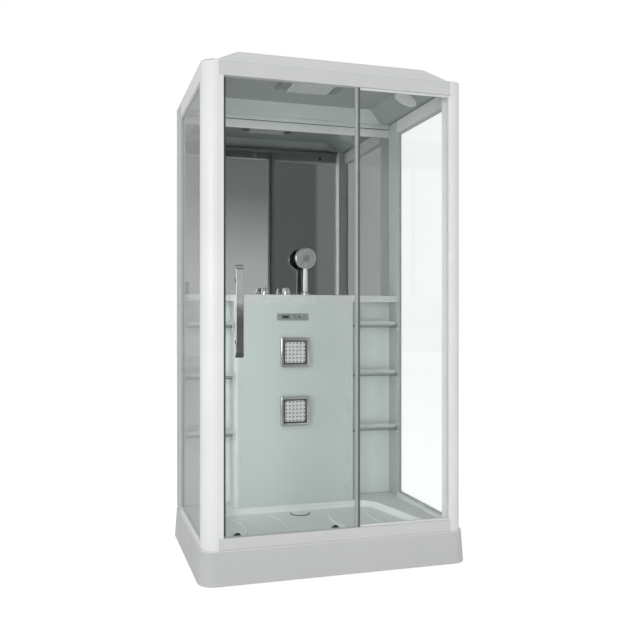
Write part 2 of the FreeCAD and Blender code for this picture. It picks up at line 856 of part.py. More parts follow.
def make_back_post(label, side):
    """A wide flat hollow profile at the back corner."""
    x = ["back_post_inner_x", "frame_x"] if side > 0 else ["-frame_x", "-back_post_inner_x"]
    body = new_body(label)
    sketch = new_sketch(body, z="rim_height")
    rectangle(sketch, x, ("back_post_front_y", "frame_y"), "profile_edge_round")
    wall = "profile_wall"
    rectangle(sketch, (f"{x[0]} + {wall}", f"{x[1]} - {wall}"),
              (f"back_post_front_y + {wall}", f"frame_y - {wall}"))
    pad(body, sketch, "frame_height")


def front_rail(label, base, sign, height, tip):
    """A front rail: a hollow box that holds the fixed pane and an open track for the door behind it.

    Base is the height of the face that meets the tray or the roof, and sign says which way the rail
    grows from it.
    """
    def at(offset):
        return f"{base} + {sign} * ({offset})"
    edge = "profile_edge_round"
    corners = [
        ("-frame_y", at("0"), edge), ("-frame_y", at(height), edge), ("front_box_rear_y", at(height), edge),
        ("front_box_rear_y", at("track_base")), ("track_front_y", at("track_base")), ("track_front_y", tip),
        ("track_rear_y", tip), ("track_rear_y", at("track_base")),
        ("front_rail_rear_y - track_thickness", at("track_base")),
        ("front_rail_rear_y - track_thickness", at("track_lip")),
        ("front_rail_rear_y", at("track_lip")), ("front_rail_rear_y", at("0")),
    ]
    wall = "profile_wall"
    hollow = [
        (f"-frame_y + {wall}", at(wall)), (f"-frame_y + {wall}", at(f"{height} - {wall}")),
        (f"front_box_rear_y - {wall}", at(f"{height} - {wall}")), (f"front_box_rear_y - {wall}", at(wall)),
    ]
    if sign > 0:
        corners.reverse()
        hollow.reverse()
    extruded(label, "YZ_Plane", corners, "-post_inner_x", "2 * post_inner_x", [hollow])


def tube(name, x, y, z, along):
    """A hollow rectangular length of profile, open at its ends along the named axis."""
    wall = "profile_wall"
    spans = {"x": x, "y": y, "z": z}
    inner = {axis: span if axis == along else (f"({span[0]}) + {wall}", f"({span[1]}) - {wall}")
             for axis, span in spans.items()}
    outside = box(name + "_outside", x, y, z)
    inside = box(name + "_inside", inner["x"], inner["y"], inner["z"])
    return cut(name, outside, [inside])


def make_frame():
    make_front_post("post_front_left", -1)
    make_front_post("post_front_right", 1)
    make_back_post("post_back_left", -1)
    make_back_post("post_back_right", 1)
    front_rail("rail_front_bottom", "rim_height", 1, "front_bottom_height", "track_bottom_tip")
    front_rail("rail_front_top", "frame_top", -1, "front_top_height", "track_top_tip")
    along = ("post_rear_y", "back_post_front_y")
    upper = []
    lower = []
    for name, side in (("left", -1), ("right", 1)):
        x = span(f"{side} * (frame_x - side_rail_width / 2)", "side_rail_width")
        upper.append(tube(f"side_top_{name}", x, along, ("side_top_bottom", "frame_top"), "y"))
        lower.append(tube(f"side_bottom_{name}", x, along, ("rim_height", "side_bottom_top"), "y"))
    group("rails_side_top", upper)
    group("rails_side_bottom", lower)
    across = ("-back_post_inner_x", "back_post_inner_x")
    depth = ("back_rail_front_y", "frame_y")
    parts = [tube("back_rail_top", across, depth, ("back_top_bottom", "frame_top"), "x"),
             tube("back_rail_bottom", across, depth, ("rim_height", "back_bottom_top"), "x")]
    for index, side in enumerate((-1, 1)):
        x = span(f"{side} * back_stile_x", "back_stile_width")
        parts.append(tube(f"back_stile_{index}", x, depth, ("back_bottom_top", "back_top_bottom"), "z"))
    group("back_frame", parts)
    jamb = tube("jamb_tube", ("-post_inner_x", "jamb_inner_x"), ("-frame_y", "front_rail_rear_y"),
                ("front_bottom_top", "front_top_bottom"), "z")
    jamb.Label = "closing_jamb"


# Glazing

def gasket(name, x, y, z, thin):
    """A channel of rubber round a pane, lapping its edge. Thin names the axis across the pane."""
    spans = {"x": x, "y": y, "z": z}
    whole = {}
    window = {}
    pane = {}
    for axis, (low, high) in spans.items():
        if axis == thin:
            whole[axis] = (f"{low} - gasket_wall", f"{high} + gasket_wall")
            window[axis] = whole[axis]
            pane[axis] = (low, high)
        else:
            whole[axis] = (low, high)
            pane[axis] = (f"{low} + gasket_gap", f"{high} - gasket_gap")
            window[axis] = (f"{low} + gasket_gap + gasket_lap", f"{high} - gasket_gap - gasket_lap")
    ring = box(name + "_whole", whole["x"], whole["y"], whole["z"])
    return cut(name, ring, [box(name + "_window", window["x"], window["y"], window["z"]),
                            box(name + "_slot", pane["x"], pane["y"], pane["z"])]), pane


def make_glazing():
    gaskets = []
    side_y = ("post_rear_y", "back_post_front_y")
    side_z = ("side_bottom_top", "side_top_bottom")
    for name, x in (("left", ("-side_glass_x", "glass_thickness - side_glass_x")),
                    ("right", ("side_glass_x - glass_thickness", "side_glass_x"))):
        ring, pane = gasket(f"side_gasket_{name}", x, side_y, side_z, "x")
        gaskets.append(ring)
        box(f"glass_{name}", pane["x"], pane["y"], pane["z"])
    ring, pane = gasket("front_gasket", ("fixed_glass_left", "post_inner_x"),
                        ("front_glass_y", "front_glass_y + glass_thickness"),
                        ("front_bottom_top", "front_top_bottom"), "y")
    box("glass_front_fixed", ("fixed_glass_left + seal_wall", pane["x"][1]), pane["y"], pane["z"])
    upright = ("front_bottom_top", "front_top_bottom")
    strip_x = ("fixed_glass_left", "fixed_glass_left + seal_width")
    across = span("front_glass_y + glass_thickness / 2", "glass_thickness + 4 * gasket_wall")
    free_edge = box("front_gasket_free_edge", strip_x, across, upright)
    gaskets.append(cut("front_gasket_trimmed", ring, [free_edge]))
    group("glass_gaskets", gaskets)
    profile = box("seal_whole", strip_x,
                  ("front_glass_y - seal_wall", "front_glass_y + glass_thickness + 2 * seal_wall"), upright)
    slot = box("seal_slot", ("fixed_glass_left + seal_wall", strip_x[1]), pane["y"], pane["z"])
    cut("fixed_panel_seal", profile, [slot])
    box("mirror_panel", span("0", "2 * back_post_inner_x"), ("mirror_front_y", "back_rail_front_y"),
        ("deck_top", "back_top_bottom + back_top_height / 2"))
    panels = []
    for index, x in enumerate((("-back_post_inner_x", "-console_half_width"),
                               ("console_half_width", "back_post_inner_x"))):
        panels.append(box(f"back_panel_{index}", x, ("mirror_front_y", "back_rail_front_y"),
                          ("rim_height", "deck_height")))
    group("back_panels", panels)


# Sliding door

ROLLERS = {
    "roller_top_left": ("roller_left_x", "roller_top_z"),
    "roller_top_right": ("roller_right_x", "roller_top_z"),
    "roller_bottom_left": ("roller_left_x", "roller_bottom_z"),
    "roller_bottom_right": ("roller_right_x", "roller_bottom_z"),
}


def make_roller(label, x, z):
    """A grooved wheel that turns about Y and straddles the rail's track."""
    body = new_body(label)
    sketch = new_sketch(body, "YZ_Plane", x="roller_y", y=z, z=x)
    half = "roller_width / 2"
    groove = "roller_groove / 2"
    outline(sketch, [(f"-{half}", "roller_bore_radius"), (half, "roller_bore_radius"),
                     (half, "roller_flange_radius"), (groove, "roller_flange_radius"),
                     (groove, "roller_tread_radius"), (f"-{groove}", "roller_tread_radius"),
                     (f"-{groove}", "roller_flange_radius"), (f"-{half}", "roller_flange_radius")])
    doc.recompute()
    feature = body.newObject("PartDesign::Revolution", label + "_turn")
    feature.Profile = sketch
    feature.ReferenceAxis = (sketch, ["H_Axis"])


def handle_bar(rear):
    """The flat bar of the handle, its two ends turned back towards the glass."""
    front = f"{rear} - handle_thickness"
    tip = f"{front} + handle_return"
    bend = "handle_bend_round"
    inner_bend = "handle_bend_round - handle_thickness"
    high = "handle_centre_z + handle_length / 2"
    low = "handle_centre_z - handle_length / 2"
    thick = "handle_thickness"
    corners = [
        (tip, low), (tip, f"{low} + {thick}"), (rear, f"{low} + {thick}", inner_bend),
        (rear, f"{high} - {thick}", inner_bend), (tip, f"{high} - {thick}"), (tip, high),
        (front, high, bend), (front, low, bend),
    ]
    bar = extruded("handle_bar", "YZ_Plane", corners, "handle_x - handle_width / 2", "handle_width")
    fillet(bar, "handle_thickness / 4", lambda edge: True)
    return bar


def make_door():
    glass_y = ("door_glass_y", "door_glass_y + glass_thickness")
    glass_z = ("door_glass_bottom", "door_glass_top")
    sheet_of_glass = box("door_sheet", ("door_glass_left", "door_glass_right"), glass_y, glass_z)
    holes = []
    fittings = []
    for label, (x, z) in ROLLERS.items():
        make_roller(label, x, z)
        holes.append(cylinder(f"{label}_hole", "roller_collar_radius", "glass_thickness",
                              x, glass_y[0], z, "y"))
        pin_start = "roller_y - roller_width / 2 - fitting_gap"
        pin = cylinder(f"{label}_pin", "roller_pin_radius", f"{glass_y[1]} - ({pin_start})",
                       x, pin_start, z, "y")
        nose = cylinder(f"{label}_nose", "roller_collar_radius", "roller_cap_height / 2",
                        x, f"{pin_start} - roller_cap_height / 2", z, "y")
        collar_start = "roller_y + roller_width / 2 + fitting_gap"
        collar = cylinder(f"{label}_collar", "roller_collar_radius", f"{glass_y[1]} - ({collar_start})",
                          x, collar_start, z, "y")
        cap = cylinder(f"{label}_cap", "roller_cap_radius", "roller_cap_height", x, glass_y[1], z, "y")
        fittings.append(fuse(f"{label}_axle", [pin, nose, collar, cap]))
    levels = [f"handle_centre_z + {sign} * handle_standoff_spacing / 2" for sign in (-1, 1)]
    bar_rear = "door_glass_y - handle_stand"
    grips = [handle_bar(bar_rear)]
    for index, z in enumerate(levels):
        grips.append(cylinder(f"standoff_{index}", "handle_standoff_radius",
                              "handle_stand + handle_thickness / 2", "handle_x",
                              f"{bar_rear} - handle_thickness / 2", z, "y"))
        grips.append(cylinder(f"standoff_foot_{index}", "handle_foot_radius", "handle_foot_height",
                              "handle_x", "door_glass_y - handle_foot_height", z, "y"))
        holes.append(cylinder(f"handle_hole_{index}", "handle_screw_radius", "glass_thickness",
                              "handle_x", glass_y[0], z, "y"))
        shank = cylinder(f"handle_shank_{index}", "handle_screw_radius", "glass_thickness",
                         "handle_x", glass_y[0], z, "y")
        cap = cylinder(f"handle_cap_{index}", "handle_cap_radius", "handle_cap_height",
                       "handle_x", glass_y[1], z, "y")
        fittings.append(fuse(f"handle_screw_{index}", [shank, cap]))
    fuse("door_handle", grips)
    cut("door_glass", sheet_of_glass, holes)
    group("door_fittings", fittings)
    profiles = []
    for index, (low, high) in enumerate((("door_left", "door_left + door_edge_width"),
                                         ("door_right - door_edge_width", "door_right"))):
        whole = box(f"door_edge_whole_{index}", (low, high),
                    ("door_glass_y - door_edge_wall", "door_glass_y + glass_thickness + door_edge_wall"),
                    ("track_bottom_tip", "track_top_tip"))
        profiles.append(cut(f"door_edge_{index}", whole,
                            [box(f"door_edge_slot_{index}", ("door_glass_left", "door_glass_right"),
                                 glass_y, glass_z)]))
    group("door_edge_profiles", profiles)


# Console, deck and their fittings

def make_console():
    body = new_body("console_shell")
    sketch = new_sketch(body, z="rim_height")
    outline(sketch, [("-console_half_width", "console_front_y", "console_round"),
                     ("console_half_width", "console_front_y", "console_round"),
                     ("console_half_width", "mirror_front_y"), ("-console_half_width", "mirror_front_y")])
    pad(body, sketch, "deck_height - rim_height")
    hollow = new_sketch(body, z="rim_height")
    wall = "console_wall"
    inner_y = f"console_recess_y + {wall}"
    outline(hollow, [(f"-console_half_width + {wall}", inner_y, f"console_round - {wall}"),
                     (f"console_half_width - {wall}", inner_y, f"console_round - {wall}"),
                     (f"console_half_width - {wall}", "mirror_front_y"),
                     (f"-console_half_width + {wall}", "mirror_front_y")])
    pocket(body, hollow, "deck_height - rim_height", forwards=True)
    recess = new_sketch(body, "XZ_Plane", z="-console_front_y")
    rectangle(recess, span("0", "2 * console_glass_half"), ("console_glass_low", "console_glass_high"))
    pocket(body, recess, "glass_thickness")
    openings = new_sketch(body, "XZ_Plane", z="-console_front_y")
    console_holes(openings)
    pocket(body, openings, f"glass_thickness + {wall}")
    pane = new_body("console_glass")
    face = new_sketch(pane, "XZ_Plane", z="-console_front_y")
    rectangle(face, ("fitting_gap - console_glass_half", "console_glass_half - fitting_gap"),
              ("console_glass_low + fitting_gap", "console_glass_high - fitting_gap"))
    console_holes(face)
    pad(pane, face, "glass_thickness", backwards=True)


def console_holes(sketch):
    """Round holes for the two jets and a slot for the control panel's body."""
    for z in ("jet_upper_z", "jet_lower_z"):
        circle(sketch, "fittings_x", z, "jet_bore_radius")
    rectangle(sketch, span("panel_centre_x", "panel_body_width + 2 * fitting_gap"),
              span("panel_centre_z", "panel_body_height + 2 * fitting_gap"))


def deck_outline(sketch, inset="0"):
    """The deck's outline: full width at the wings, with a nose over the console between them."""
    wing = f"back_post_inner_x - {inset}"
    nose = f"console_half_width + deck_nose - {inset}"
    round_out = f"deck_corner_round - {inset}"
    round_in = f"deck_corner_round + {inset}"
    right = [(nose, f"deck_front_y + {inset}", round_out), (nose, f"deck_wing_y + {inset}", round_in),
             (wing, f"deck_wing_y + {inset}"), (wing, f"mirror_front_y - {inset}")]
    left = [(f"-({corner[0]})",) + corner[1:] for corner in reversed(right)]
    outline(sketch, right + left)


def make_deck():
    body = new_body("deck_shelf")
    sketch = new_sketch(body, z="deck_height")
    deck_outline(sketch)
    pad(body, sketch, "deck_thickness")
    rear = number("mirror_front_y")
    wing = number("back_post_inner_x")

    def front_edge(edge):
        extent = edge.BoundBox
        at_wall = abs(abs(extent.Center.x) - wing) < TOLERANCE
        at_mirror = abs(extent.YMin - rear) < TOLERANCE
        return level("deck_top")(edge) and not at_wall and not at_mirror
    fillet(body, "deck_edge_round", front_edge)
    hollow = new_sketch(body, z="deck_height")
    deck_outline(hollow, "deck_wall")
    pocket(body, hollow, "deck_thickness - deck_wall", forwards=True)
    holes = new_sketch(body, z="deck_top")
    for x in ("mixer_x", "diverter_x"):
        circle(holes, x, "tap_y", "spindle_radius + fitting_gap")
    circle(holes, "hand_shower_x", "tap_y", "shower_spigot_radius + holder_wall")
    pocket(body, holes, "deck_wall")


def make_taps():
    valves = []
    collars = []
    for name, x, side in (("mixer", "mixer_x", -1), ("diverter", "diverter_x", 1)):
        height = "knob_height"
        bore = "spindle_radius + spindle_slack"
        turned(f"{name}_knob", x, "tap_y", [
            (bore, "0"), ("knob_radius", "0", "knob_edge_round / 2"),
            ("knob_radius", f"{height} * {KNOB_RIM_SHARE}", "knob_edge_round"),
            ("knob_waist_radius", height, "knob_edge_round"), ("0", height),
            ("0", "spindle_reach"), (bore, "spindle_reach")], base="knob_base")
        ring = cylinder(f"{name}_collar_disc", "collar_radius", "collar_height", x, "tap_y", "deck_top")
        hole = cylinder(f"{name}_collar_hole", "spindle_radius + fitting_gap", "collar_height",
                        x, "tap_y", "deck_top")
        collars.append(cut(f"{name}_collar", ring, [hole]))
        cartridge = cylinder(f"{name}_cartridge", "valve_radius", "valve_height", x, "tap_y",
                             "valve_top - valve_height")
        spindle = cylinder(f"{name}_spindle", "spindle_radius",
                           "knob_base + spindle_reach - fitting_gap - valve_top", x, "tap_y", "valve_top")
        nut = cylinder(f"{name}_nut", "valve_nut_radius", "deck_thickness - deck_wall + valve_drop",
                       x, "tap_y", "valve_top")
        inlet = cylinder(f"{name}_inlet", "inlet_radius", "inlet_reach", x, "tap_y", "valve_inlet_z", "y")
        shoulder = cylinder(f"{name}_shoulder", "inlet_shoulder_radius",
                            "valve_radius + inlet_shoulder_reach", x, "tap_y", "valve_inlet_z", "y")
        tail = cylinder(f"{name}_tail", "valve_tail_radius", "valve_tail_length + valve_radius",
                        x, "tap_y", "valve_top - valve_height - valve_tail_length", "z")
        valves.append(fuse(f"{name}_valve", [cartridge, spindle, nut, inlet, shoulder, tail]))
    bridge = cylinder("valve_bridge", "valve_tail_radius", "diverter_x - mixer_x", "mixer_x", "tap_y",
                      "valve_top - valve_height + valve_tail_radius * 2", "x")
    fuse("valve_bodies", valves + [bridge])
    group("knob_collars", collars)


def make_hand_shower():
    x = "hand_shower_x"
    head = cylinder("shower_head_disc", "shower_head_radius", "shower_head_depth", x, "shower_front_y",
                    "shower_head_z", "y")
    head = rounded("shower_head", head, "shower_head_depth / 4",
                   lambda edge: isinstance(edge.Curve, Part.Circle))
    face_hole = cylinder("shower_face_hole", "shower_face_radius + fitting_gap", "shower_face_depth", x,
                         "shower_front_y", "shower_head_z", "y")
    grip_low = "holder_top + fitting_gap"
    grip = doc.addObject("Part::Cone", "shower_grip")
    bind(grip, "Radius1", "shower_handle_radius")
    bind(grip, "Radius2", "shower_handle_radius - shower_face_depth / 2")
    bind(grip, "Height", f"shower_head_z - shower_head_radius * {GRIP_SHARE} - ({grip_low})")
    place(grip, x, "tap_y", grip_low)
    spigot = cylinder("shower_spigot", "shower_spigot_radius", "shower_spigot_length", x, "tap_y",
                      f"{grip_low} - shower_spigot_length")
    cut("hand_shower", fuse("shower_body", [head, grip, spigot]), [face_hole])
    cylinder("spray_face", "shower_face_radius", "shower_face_depth", x, "shower_front_y",
             "shower_head_z", "y")
    bore = "shower_spigot_radius + spindle_slack"
    turned("hand_shower_holder", x, "tap_y", [
        (bore, "-deck_thickness"), ("shower_spigot_radius + holder_wall - fitting_gap", "-deck_thickness"),
        ("shower_spigot_radius + holder_wall - fitting_gap", "0"), ("holder_radius", "0"),
        ("holder_radius", "holder_height", "holder_wall"), (bore, "holder_height")], base="deck_top")


def make_jets():
    frames = []
    middle = "fittings_x"
    for name, z in (("upper", "jet_upper_z"), ("lower", "jet_lower_z")):
        block = box(f"jet_block_{name}", span(middle, "jet_frame_size"), ("jet_front_y", "console_front_y"),
                    span(z, "jet_frame_size"))
        block = rounded(f"jet_block_rounded_{name}", block, "jet_frame_round", runs_along("y"))
        window = box(f"jet_window_{name}", span(middle, "jet_window"), ("jet_front_y", "jet_floor_y"),
                     span(z, "jet_window"))
        barrel = cylinder(f"jet_barrel_{name}", "jet_body_radius", "jet_body_length", middle,
                          "console_front_y", z, "y")
        tail = cylinder(f"jet_tail_{name}", "jet_tail_radius", "jet_tail_length", middle,
                        "console_front_y + jet_body_length", z, "y")
        ring = cut(f"jet_ring_{name}", block, [window])
        along = (f"{middle} - jet_pin_length / 2", "jet_pivot_y", z, "x")
        seat_hole = cylinder(f"jet_seat_{name}", "jet_pin_radius + spindle_slack", "jet_pin_length", *along)
        cheeks = [box(f"jet_cheek_{name}_{index}",
                      span(f"{middle} + {side} * (jet_pin_length - jet_cheek_width) / 2", "jet_cheek_width"),
                      ("jet_pivot_y", "jet_floor_y"), span(z, "3 * jet_pin_radius"))
                  for index, side in enumerate((-1, 1))]
        seats = cut(f"jet_seats_{name}", fuse(f"jet_cheeks_{name}", cheeks), [seat_hole])
        frames.append(fuse(f"jet_frame_{name}", [ring, barrel, tail, seats]))
        plate = box(f"jet_face_{name}", span(middle, "jet_plate_size"),
                    ("jet_plate_y", "jet_plate_y + jet_plate_thickness"), span(z, "jet_plate_size"))
        plate = rounded(f"jet_face_rounded_{name}", plate, "jet_plate_round", runs_along("y"))
        pin = cylinder(f"jet_pin_{name}", "jet_pin_radius", "jet_pin_length", *along)
        fuse(f"jet_plate_{name}", [plate, pin])
    group("jet_frames", frames)


def make_panel():
    plate = box("panel_plate", span("panel_centre_x", "panel_width"), ("panel_front_y", "console_front_y"),
                span("panel_centre_z", "panel_height"))
    plate = rounded("panel_plate_rounded", plate, "panel_round", runs_along("y"))
    behind = box("panel_behind", span("panel_centre_x", "panel_body_width"),
                 ("console_front_y", "console_front_y + panel_body_depth"),
                 span("panel_centre_z", "panel_body_height"))
    bezel = fuse("panel_whole", [plate, behind])
    middle = "panel_centre_x - display_offset"
    well = box("display_well", span(middle, "display_width"),
               ("panel_front_y", "panel_front_y + display_depth"), span("panel_centre_z", "display_height"))
    wells = [rounded("display_well_rounded", well, "display_height / 2 - fitting_gap", runs_along("y"))]
    lens = box("display_lens", span(middle, "display_width - 2 * fitting_gap"),
               ("panel_front_y + fitting_gap", "panel_front_y + display_depth"),
               span("panel_centre_z", "display_height - 2 * fitting_gap"))
    rounded("control_display", lens, "display_height / 2 - 2 * fitting_gap", runs_along("y"))
    front = number("panel_front_y - key_proud")
    for index, label in enumerate(("key_power", "key_light", "key_fan")):
        x = f"panel_centre_x + key_offset + {index} * key_pitch"
        wells.append(cylinder(f"{label}_well", "key_radius + key_slack",
                              "key_height - key_proud + key_travel + key_slack",
                              x, "panel_front_y", "panel_centre_z", "y"))
        cap = cylinder(f"{label}_blank", "key_radius", "key_height", x, "panel_front_y - key_proud",
                       "panel_centre_z", "y")
        rounded(label, cap, "key_proud / 3", lambda edge: abs(edge.BoundBox.YMax - front) < TOLERANCE)
    cut("control_panel", bezel, wells)


def make_shelves():
    panes = []
    rails = []
    heights = {"low": "shelf_low_z", "mid": "shelf_mid_z", "high": "shelf_high_z"}
    for side in ("left", "right"):
        for storey, top in heights.items():
            name = f"{side}_{storey}"
            x = ("shelf_inner_x", "shelf_outer_x")
            plates = (("shelf_inner_x", "shelf_inner_x + rail_plate_thickness"),
                      ("shelf_outer_x - rail_plate_thickness", "shelf_outer_x"))
            if side == "left":
                x = tuple(f"-({value})" for value in reversed(x))
                plates = tuple(tuple(f"-({value})" for value in reversed(ends_x)) for ends_x in plates)
            panes.append(box(f"shelf_{name}", x, ("shelf_front_y", "shelf_back_y"),
                             (f"{top} - shelf_thickness", top)))
            rear = "shelf_front_y - fitting_gap"
            low = f"{top} + rail_band_lift"
            band = box(f"rail_band_{name}", x, (f"{rear} - rail_band_thickness", rear),
                       (low, f"{low} + rail_band_height"))
            ends = [box(f"rail_end_{name}_{index}", ends_x, (f"{rear} - rail_plate_depth", rear),
                        span(low, "rail_plate_height")) for index, ends_x in enumerate(plates)]
            rails.append(fuse(f"shelf_rail_{name}", [band] + ends))
    group("glass_shelves", panes)
    group("shelf_rails", rails)


# Roof

DOME_FOOT = ("dome_side_foot", "dome_front_foot", "dome_back_foot", "dome_foot_round")
DOME_TOP = ("dome_side_top", "dome_front_top", "dome_back_top", "dome_top_round")


def dome_sketch(body, z, insets):
    """One rounded rectangle of the dome, inset from the frame's sides, front and back."""
    side, front, back, bend = insets
    sketch = new_sketch(body, z=z)
    rectangle(sketch, span("0", f"2 * (frame_x - {side})"), (f"{front} - frame_y", f"frame_y - {back}"),
              bend)
    return sketch


def loft(body, kind, bottom, top):
    doc.recompute()
    feature = body.newObject(kind, body.Name + "_loft")
    feature.Profile = bottom
    feature.Sections = [top]
    feature.Ruled = True
    return feature


ROOF_SLOPE = "atan(dome_rise / dome_run)"


def sloping(name, radius, height, depth):
    """A round bar square to the roof's right slope, starting at a depth below its outer surface."""
    solid = doc.addObject("Part::Cylinder", name)
    bind(solid, "Radius", radius)
    bind(solid, "Height", height)
    solid.Placement.Rotation = FreeCAD.Rotation(FreeCAD.Vector(0, 1, 0), number(ROOF_SLOPE))
    bind(solid, "Placement.Rotation.Angle", ROOF_SLOPE)
    place(solid, f"fan_x - ({depth}) * dome_rise / slope_length", "fan_y",
          f"fan_z - ({depth}) * dome_run / slope_length")
    return solid


def make_roof():
    body = new_body("roof_shell")
    flange = new_sketch(body, z="frame_top")
    edge = "profile_edge_round"
    outline(flange, [("-frame_x", "-frame_y", "post_round"), ("frame_x", "-frame_y", "post_round"),
                     ("frame_x", "frame_y", edge), ("-frame_x", "frame_y", edge)])
    pad(body, flange, "roof_wall")
    loft(body, "PartDesign::AdditiveLoft", dome_sketch(body, "frame_top + roof_wall", DOME_FOOT),
         dome_sketch(body, "roof_top", DOME_TOP))
    loft(body, "PartDesign::SubtractiveLoft", dome_sketch(body, "frame_top", DOME_FOOT),
         dome_sketch(body, "ceiling", DOME_TOP))
    inlet = cylinder("rain_inlet_hole", "rain_inlet_radius + fitting_gap", "2 * roof_wall", "fittings_x",
                     "rain_panel_y", "ceiling - roof_wall / 2")
    fan = sloping("fan_hole", "fan_bore_radius", "4 * roof_wall", "2 * roof_wall")
    cut("roof_canopy", body, [inlet, fan] + ROOF_HOLES)


def make_rain_shower():
    middle = "fittings_x"
    panel = box("rain_panel_block", span(middle, "rain_panel_width"),
                span("rain_panel_y", "rain_panel_depth"), ("rain_panel_bottom", "ceiling"))
    panel = rounded("rain_panel_rounded", panel, "rain_panel_round", runs_along("z"))
    inlet = cylinder("rain_inlet", "rain_inlet_radius", "rain_inlet_height + rain_panel_thickness",
                     middle, "rain_panel_y", "rain_panel_bottom")
    wells = []
    lenses = []
    levels = ("rain_panel_bottom", "rain_panel_bottom + lamp_thickness")
    for index, side in enumerate((-1, 1)):
        x = f"{middle} + {side} * lamp_x"
        wells.append(box(f"lamp_well_{index}", span(x, "lamp_width"), span("rain_panel_y", "lamp_length"),
                         levels))
        lenses.append(box(f"lamp_lens_{index}", span(x, "lamp_width - 2 * fitting_gap"),
                          span("rain_panel_y", "lamp_length - 2 * fitting_gap"), levels))
    cut("rain_shower_panel", fuse("rain_panel_with_inlet", [panel, inlet]), wells)
    group("lamp_lenses", lenses)
    plate = box("rain_plate_block", span(middle, "rain_plate_width"),
                span("rain_panel_y", "rain_plate_depth"), ("rain_plate_bottom", "rain_panel_bottom"))
    rounded("rain_shower_plate", plate, "rain_plate_round", runs_along("z"))


def make_fan():
    cover = sloping("fan_cover", "fan_cover_radius", "fan_cover_thickness",
                    "roof_wall + fan_cover_thickness")
    slots = []
    for index in range(FAN_SLOTS):
        slot = doc.addObject("Part::Box", f"fan_slot_{index}")
        step = index - (FAN_SLOTS - 1) / 2
        half = f"(sqrt(fan_bore_radius ^ 2 - ({step} * fan_slot_pitch) ^ 2) - fan_slot_width)"
        bind(slot, "Length", "fan_slot_width")
        bind(slot, "Width", f"2 * {half}")
        bind(slot, "Height", "3 * fan_cover_thickness")
        slot.Placement.Rotation = FreeCAD.Rotation(FreeCAD.Vector(0, 1, 0), number(ROOF_SLOPE))
        bind(slot, "Placement.Rotation.Angle", ROOF_SLOPE)
        depth = "(roof_wall + 2 * fan_cover_thickness)"
        across = f"({step} * fan_slot_pitch - fan_slot_width / 2)"
        place(slot, f"fan_x - {depth} * dome_rise / slope_length + {across} * dome_run / slope_length",
              f"fan_y - {half}",
              f"fan_z - {depth} * dome_run / slope_length - {across} * dome_rise / slope_length")
        slots.append(slot)
    cut("fan_grille", cover, slots)
    outer = sloping("fan_can", "fan_housing_radius", "fan_housing_height", "0")
    inner = sloping("fan_can_hollow", "fan_housing_radius - fan_housing_wall",
                    "fan_housing_height - fan_housing_wall", "0")
    lid = "fan_housing_height - fan_housing_wall"
    motor = sloping("fan_motor", "fan_motor_radius", "fan_motor_height", f"fan_motor_height - ({lid})")
    pin_length = "fan_hub_height"
    pin = sloping("fan_pin", "fan_pin_radius", pin_length, f"fan_motor_height + {pin_length} - ({lid})")
    fuse("fan_housing", [cut("fan_can_shell", outer, [inner]), motor, pin])
    hub_base = f"fan_motor_height + fan_hub_height + fitting_gap - ({lid})"
    hub = sloping("fan_hub", "fan_hub_radius", "fan_hub_height", hub_base)
    bore = sloping("fan_hub_bore", "fan_pin_radius + fan_pin_slack", "2 * fan_hub_height", hub_base)
    blades = []
    for index in range(FAN_BLADES):
        blade = doc.addObject("Part::Box", f"fan_blade_{index}")
        bind(blade, "Length", "fan_blade_radius - fan_hub_radius / 2")
        bind(blade, "Width", "fan_blade_thickness")
        bind(blade, "Height", "fan_blade_height")
        blade.Placement = blade_place(index, hub_base)
        blades.append(blade)
    cut("fan_impeller", fuse("fan_rotor", [hub] + blades), [bore])


def blade_place(index, hub_base):
    """Where one flat blade starts: out from the hub's middle, pitched, and spaced round the axis."""
    tilt = FreeCAD.Rotation(FreeCAD.Vector(0, 1, 0), number(ROOF_SLOPE))
    spin = FreeCAD.Rotation(FreeCAD.Vector(0, 0, 1), 360 / FAN_BLADES * index)
    pitch = FreeCAD.Rotation(FreeCAD.Vector(1, 0, 0), BLADE_PITCH)
    origin = FreeCAD.Vector(number("fan_x"), number("fan_y"), number("fan_z"))
    start = FreeCAD.Vector(number("fan_hub_radius / 2"), 0, number(f"fan_blade_thickness - ({hub_base})"))
    return FreeCAD.Placement(origin + tilt.multVec(spin.multVec(start)), tilt * spin * pitch)


# Control box behind the console, and the roof's screws

def make_control_box():
    x = span("control_box_x", "control_box_width")
    z = span("control_box_z", "control_box_height")
    front = "console_recess_y + console_wall"
    case = box("control_case", x, (front, f"{front} + control_box_depth"), z)
    case = rounded("control_case_rounded", case, "control_box_wall", runs_along("y"))
    wall = "control_box_wall"
    inside = box("control_inside", span("control_box_x", f"control_box_width - 2 * {wall}"),
                 (f"{front} + {wall}", f"{front} + control_box_depth - {wall}"),
                 span("control_box_z", f"control_box_height - 2 * {wall}"))
    middle = f"{front} + control_box_depth / 2"
    low = f"{z[0]} - gland_length"
    gland = cylinder("gland", "gland_radius", "gland_length", "control_box_x", middle, low)
    bore = cylinder("gland_bore", "gland_bore_radius", f"gland_length + {wall}", "control_box_x", middle,
                    low)
    cut("control_box", fuse("control_case_with_gland", [case, gland]), [inside, bore])


def make_roof_screws():
    screws = []
    seat = number("frame_top + roof_wall")
    for side in (-1, 1):
        for index, share in enumerate(SCREW_SHARES):
            name = f"screw_{side + 1}_{index}"
            x = f"{side} * (frame_x - screw_inset)"
            y = f"{share} * frame_y"
            head = cylinder(name + "_head", "screw_head_radius", "screw_head_height", x, y,
                            "frame_top + roof_wall")
            head = rounded(name + "_dome", head, "screw_head_height / 2",
                           lambda edge: edge.BoundBox.ZMin > seat)
            shank = cylinder(name + "_shank", "screw_shank_radius", "roof_wall", x, y, "frame_top")
            screws.append(fuse(name, [head, shank]))
            ROOF_HOLES.append(cylinder(name + "_hole", "screw_shank_radius", "2 * roof_wall", x, y,
                                       "frame_top - roof_wall / 2"))
    group("roof_screws", screws)


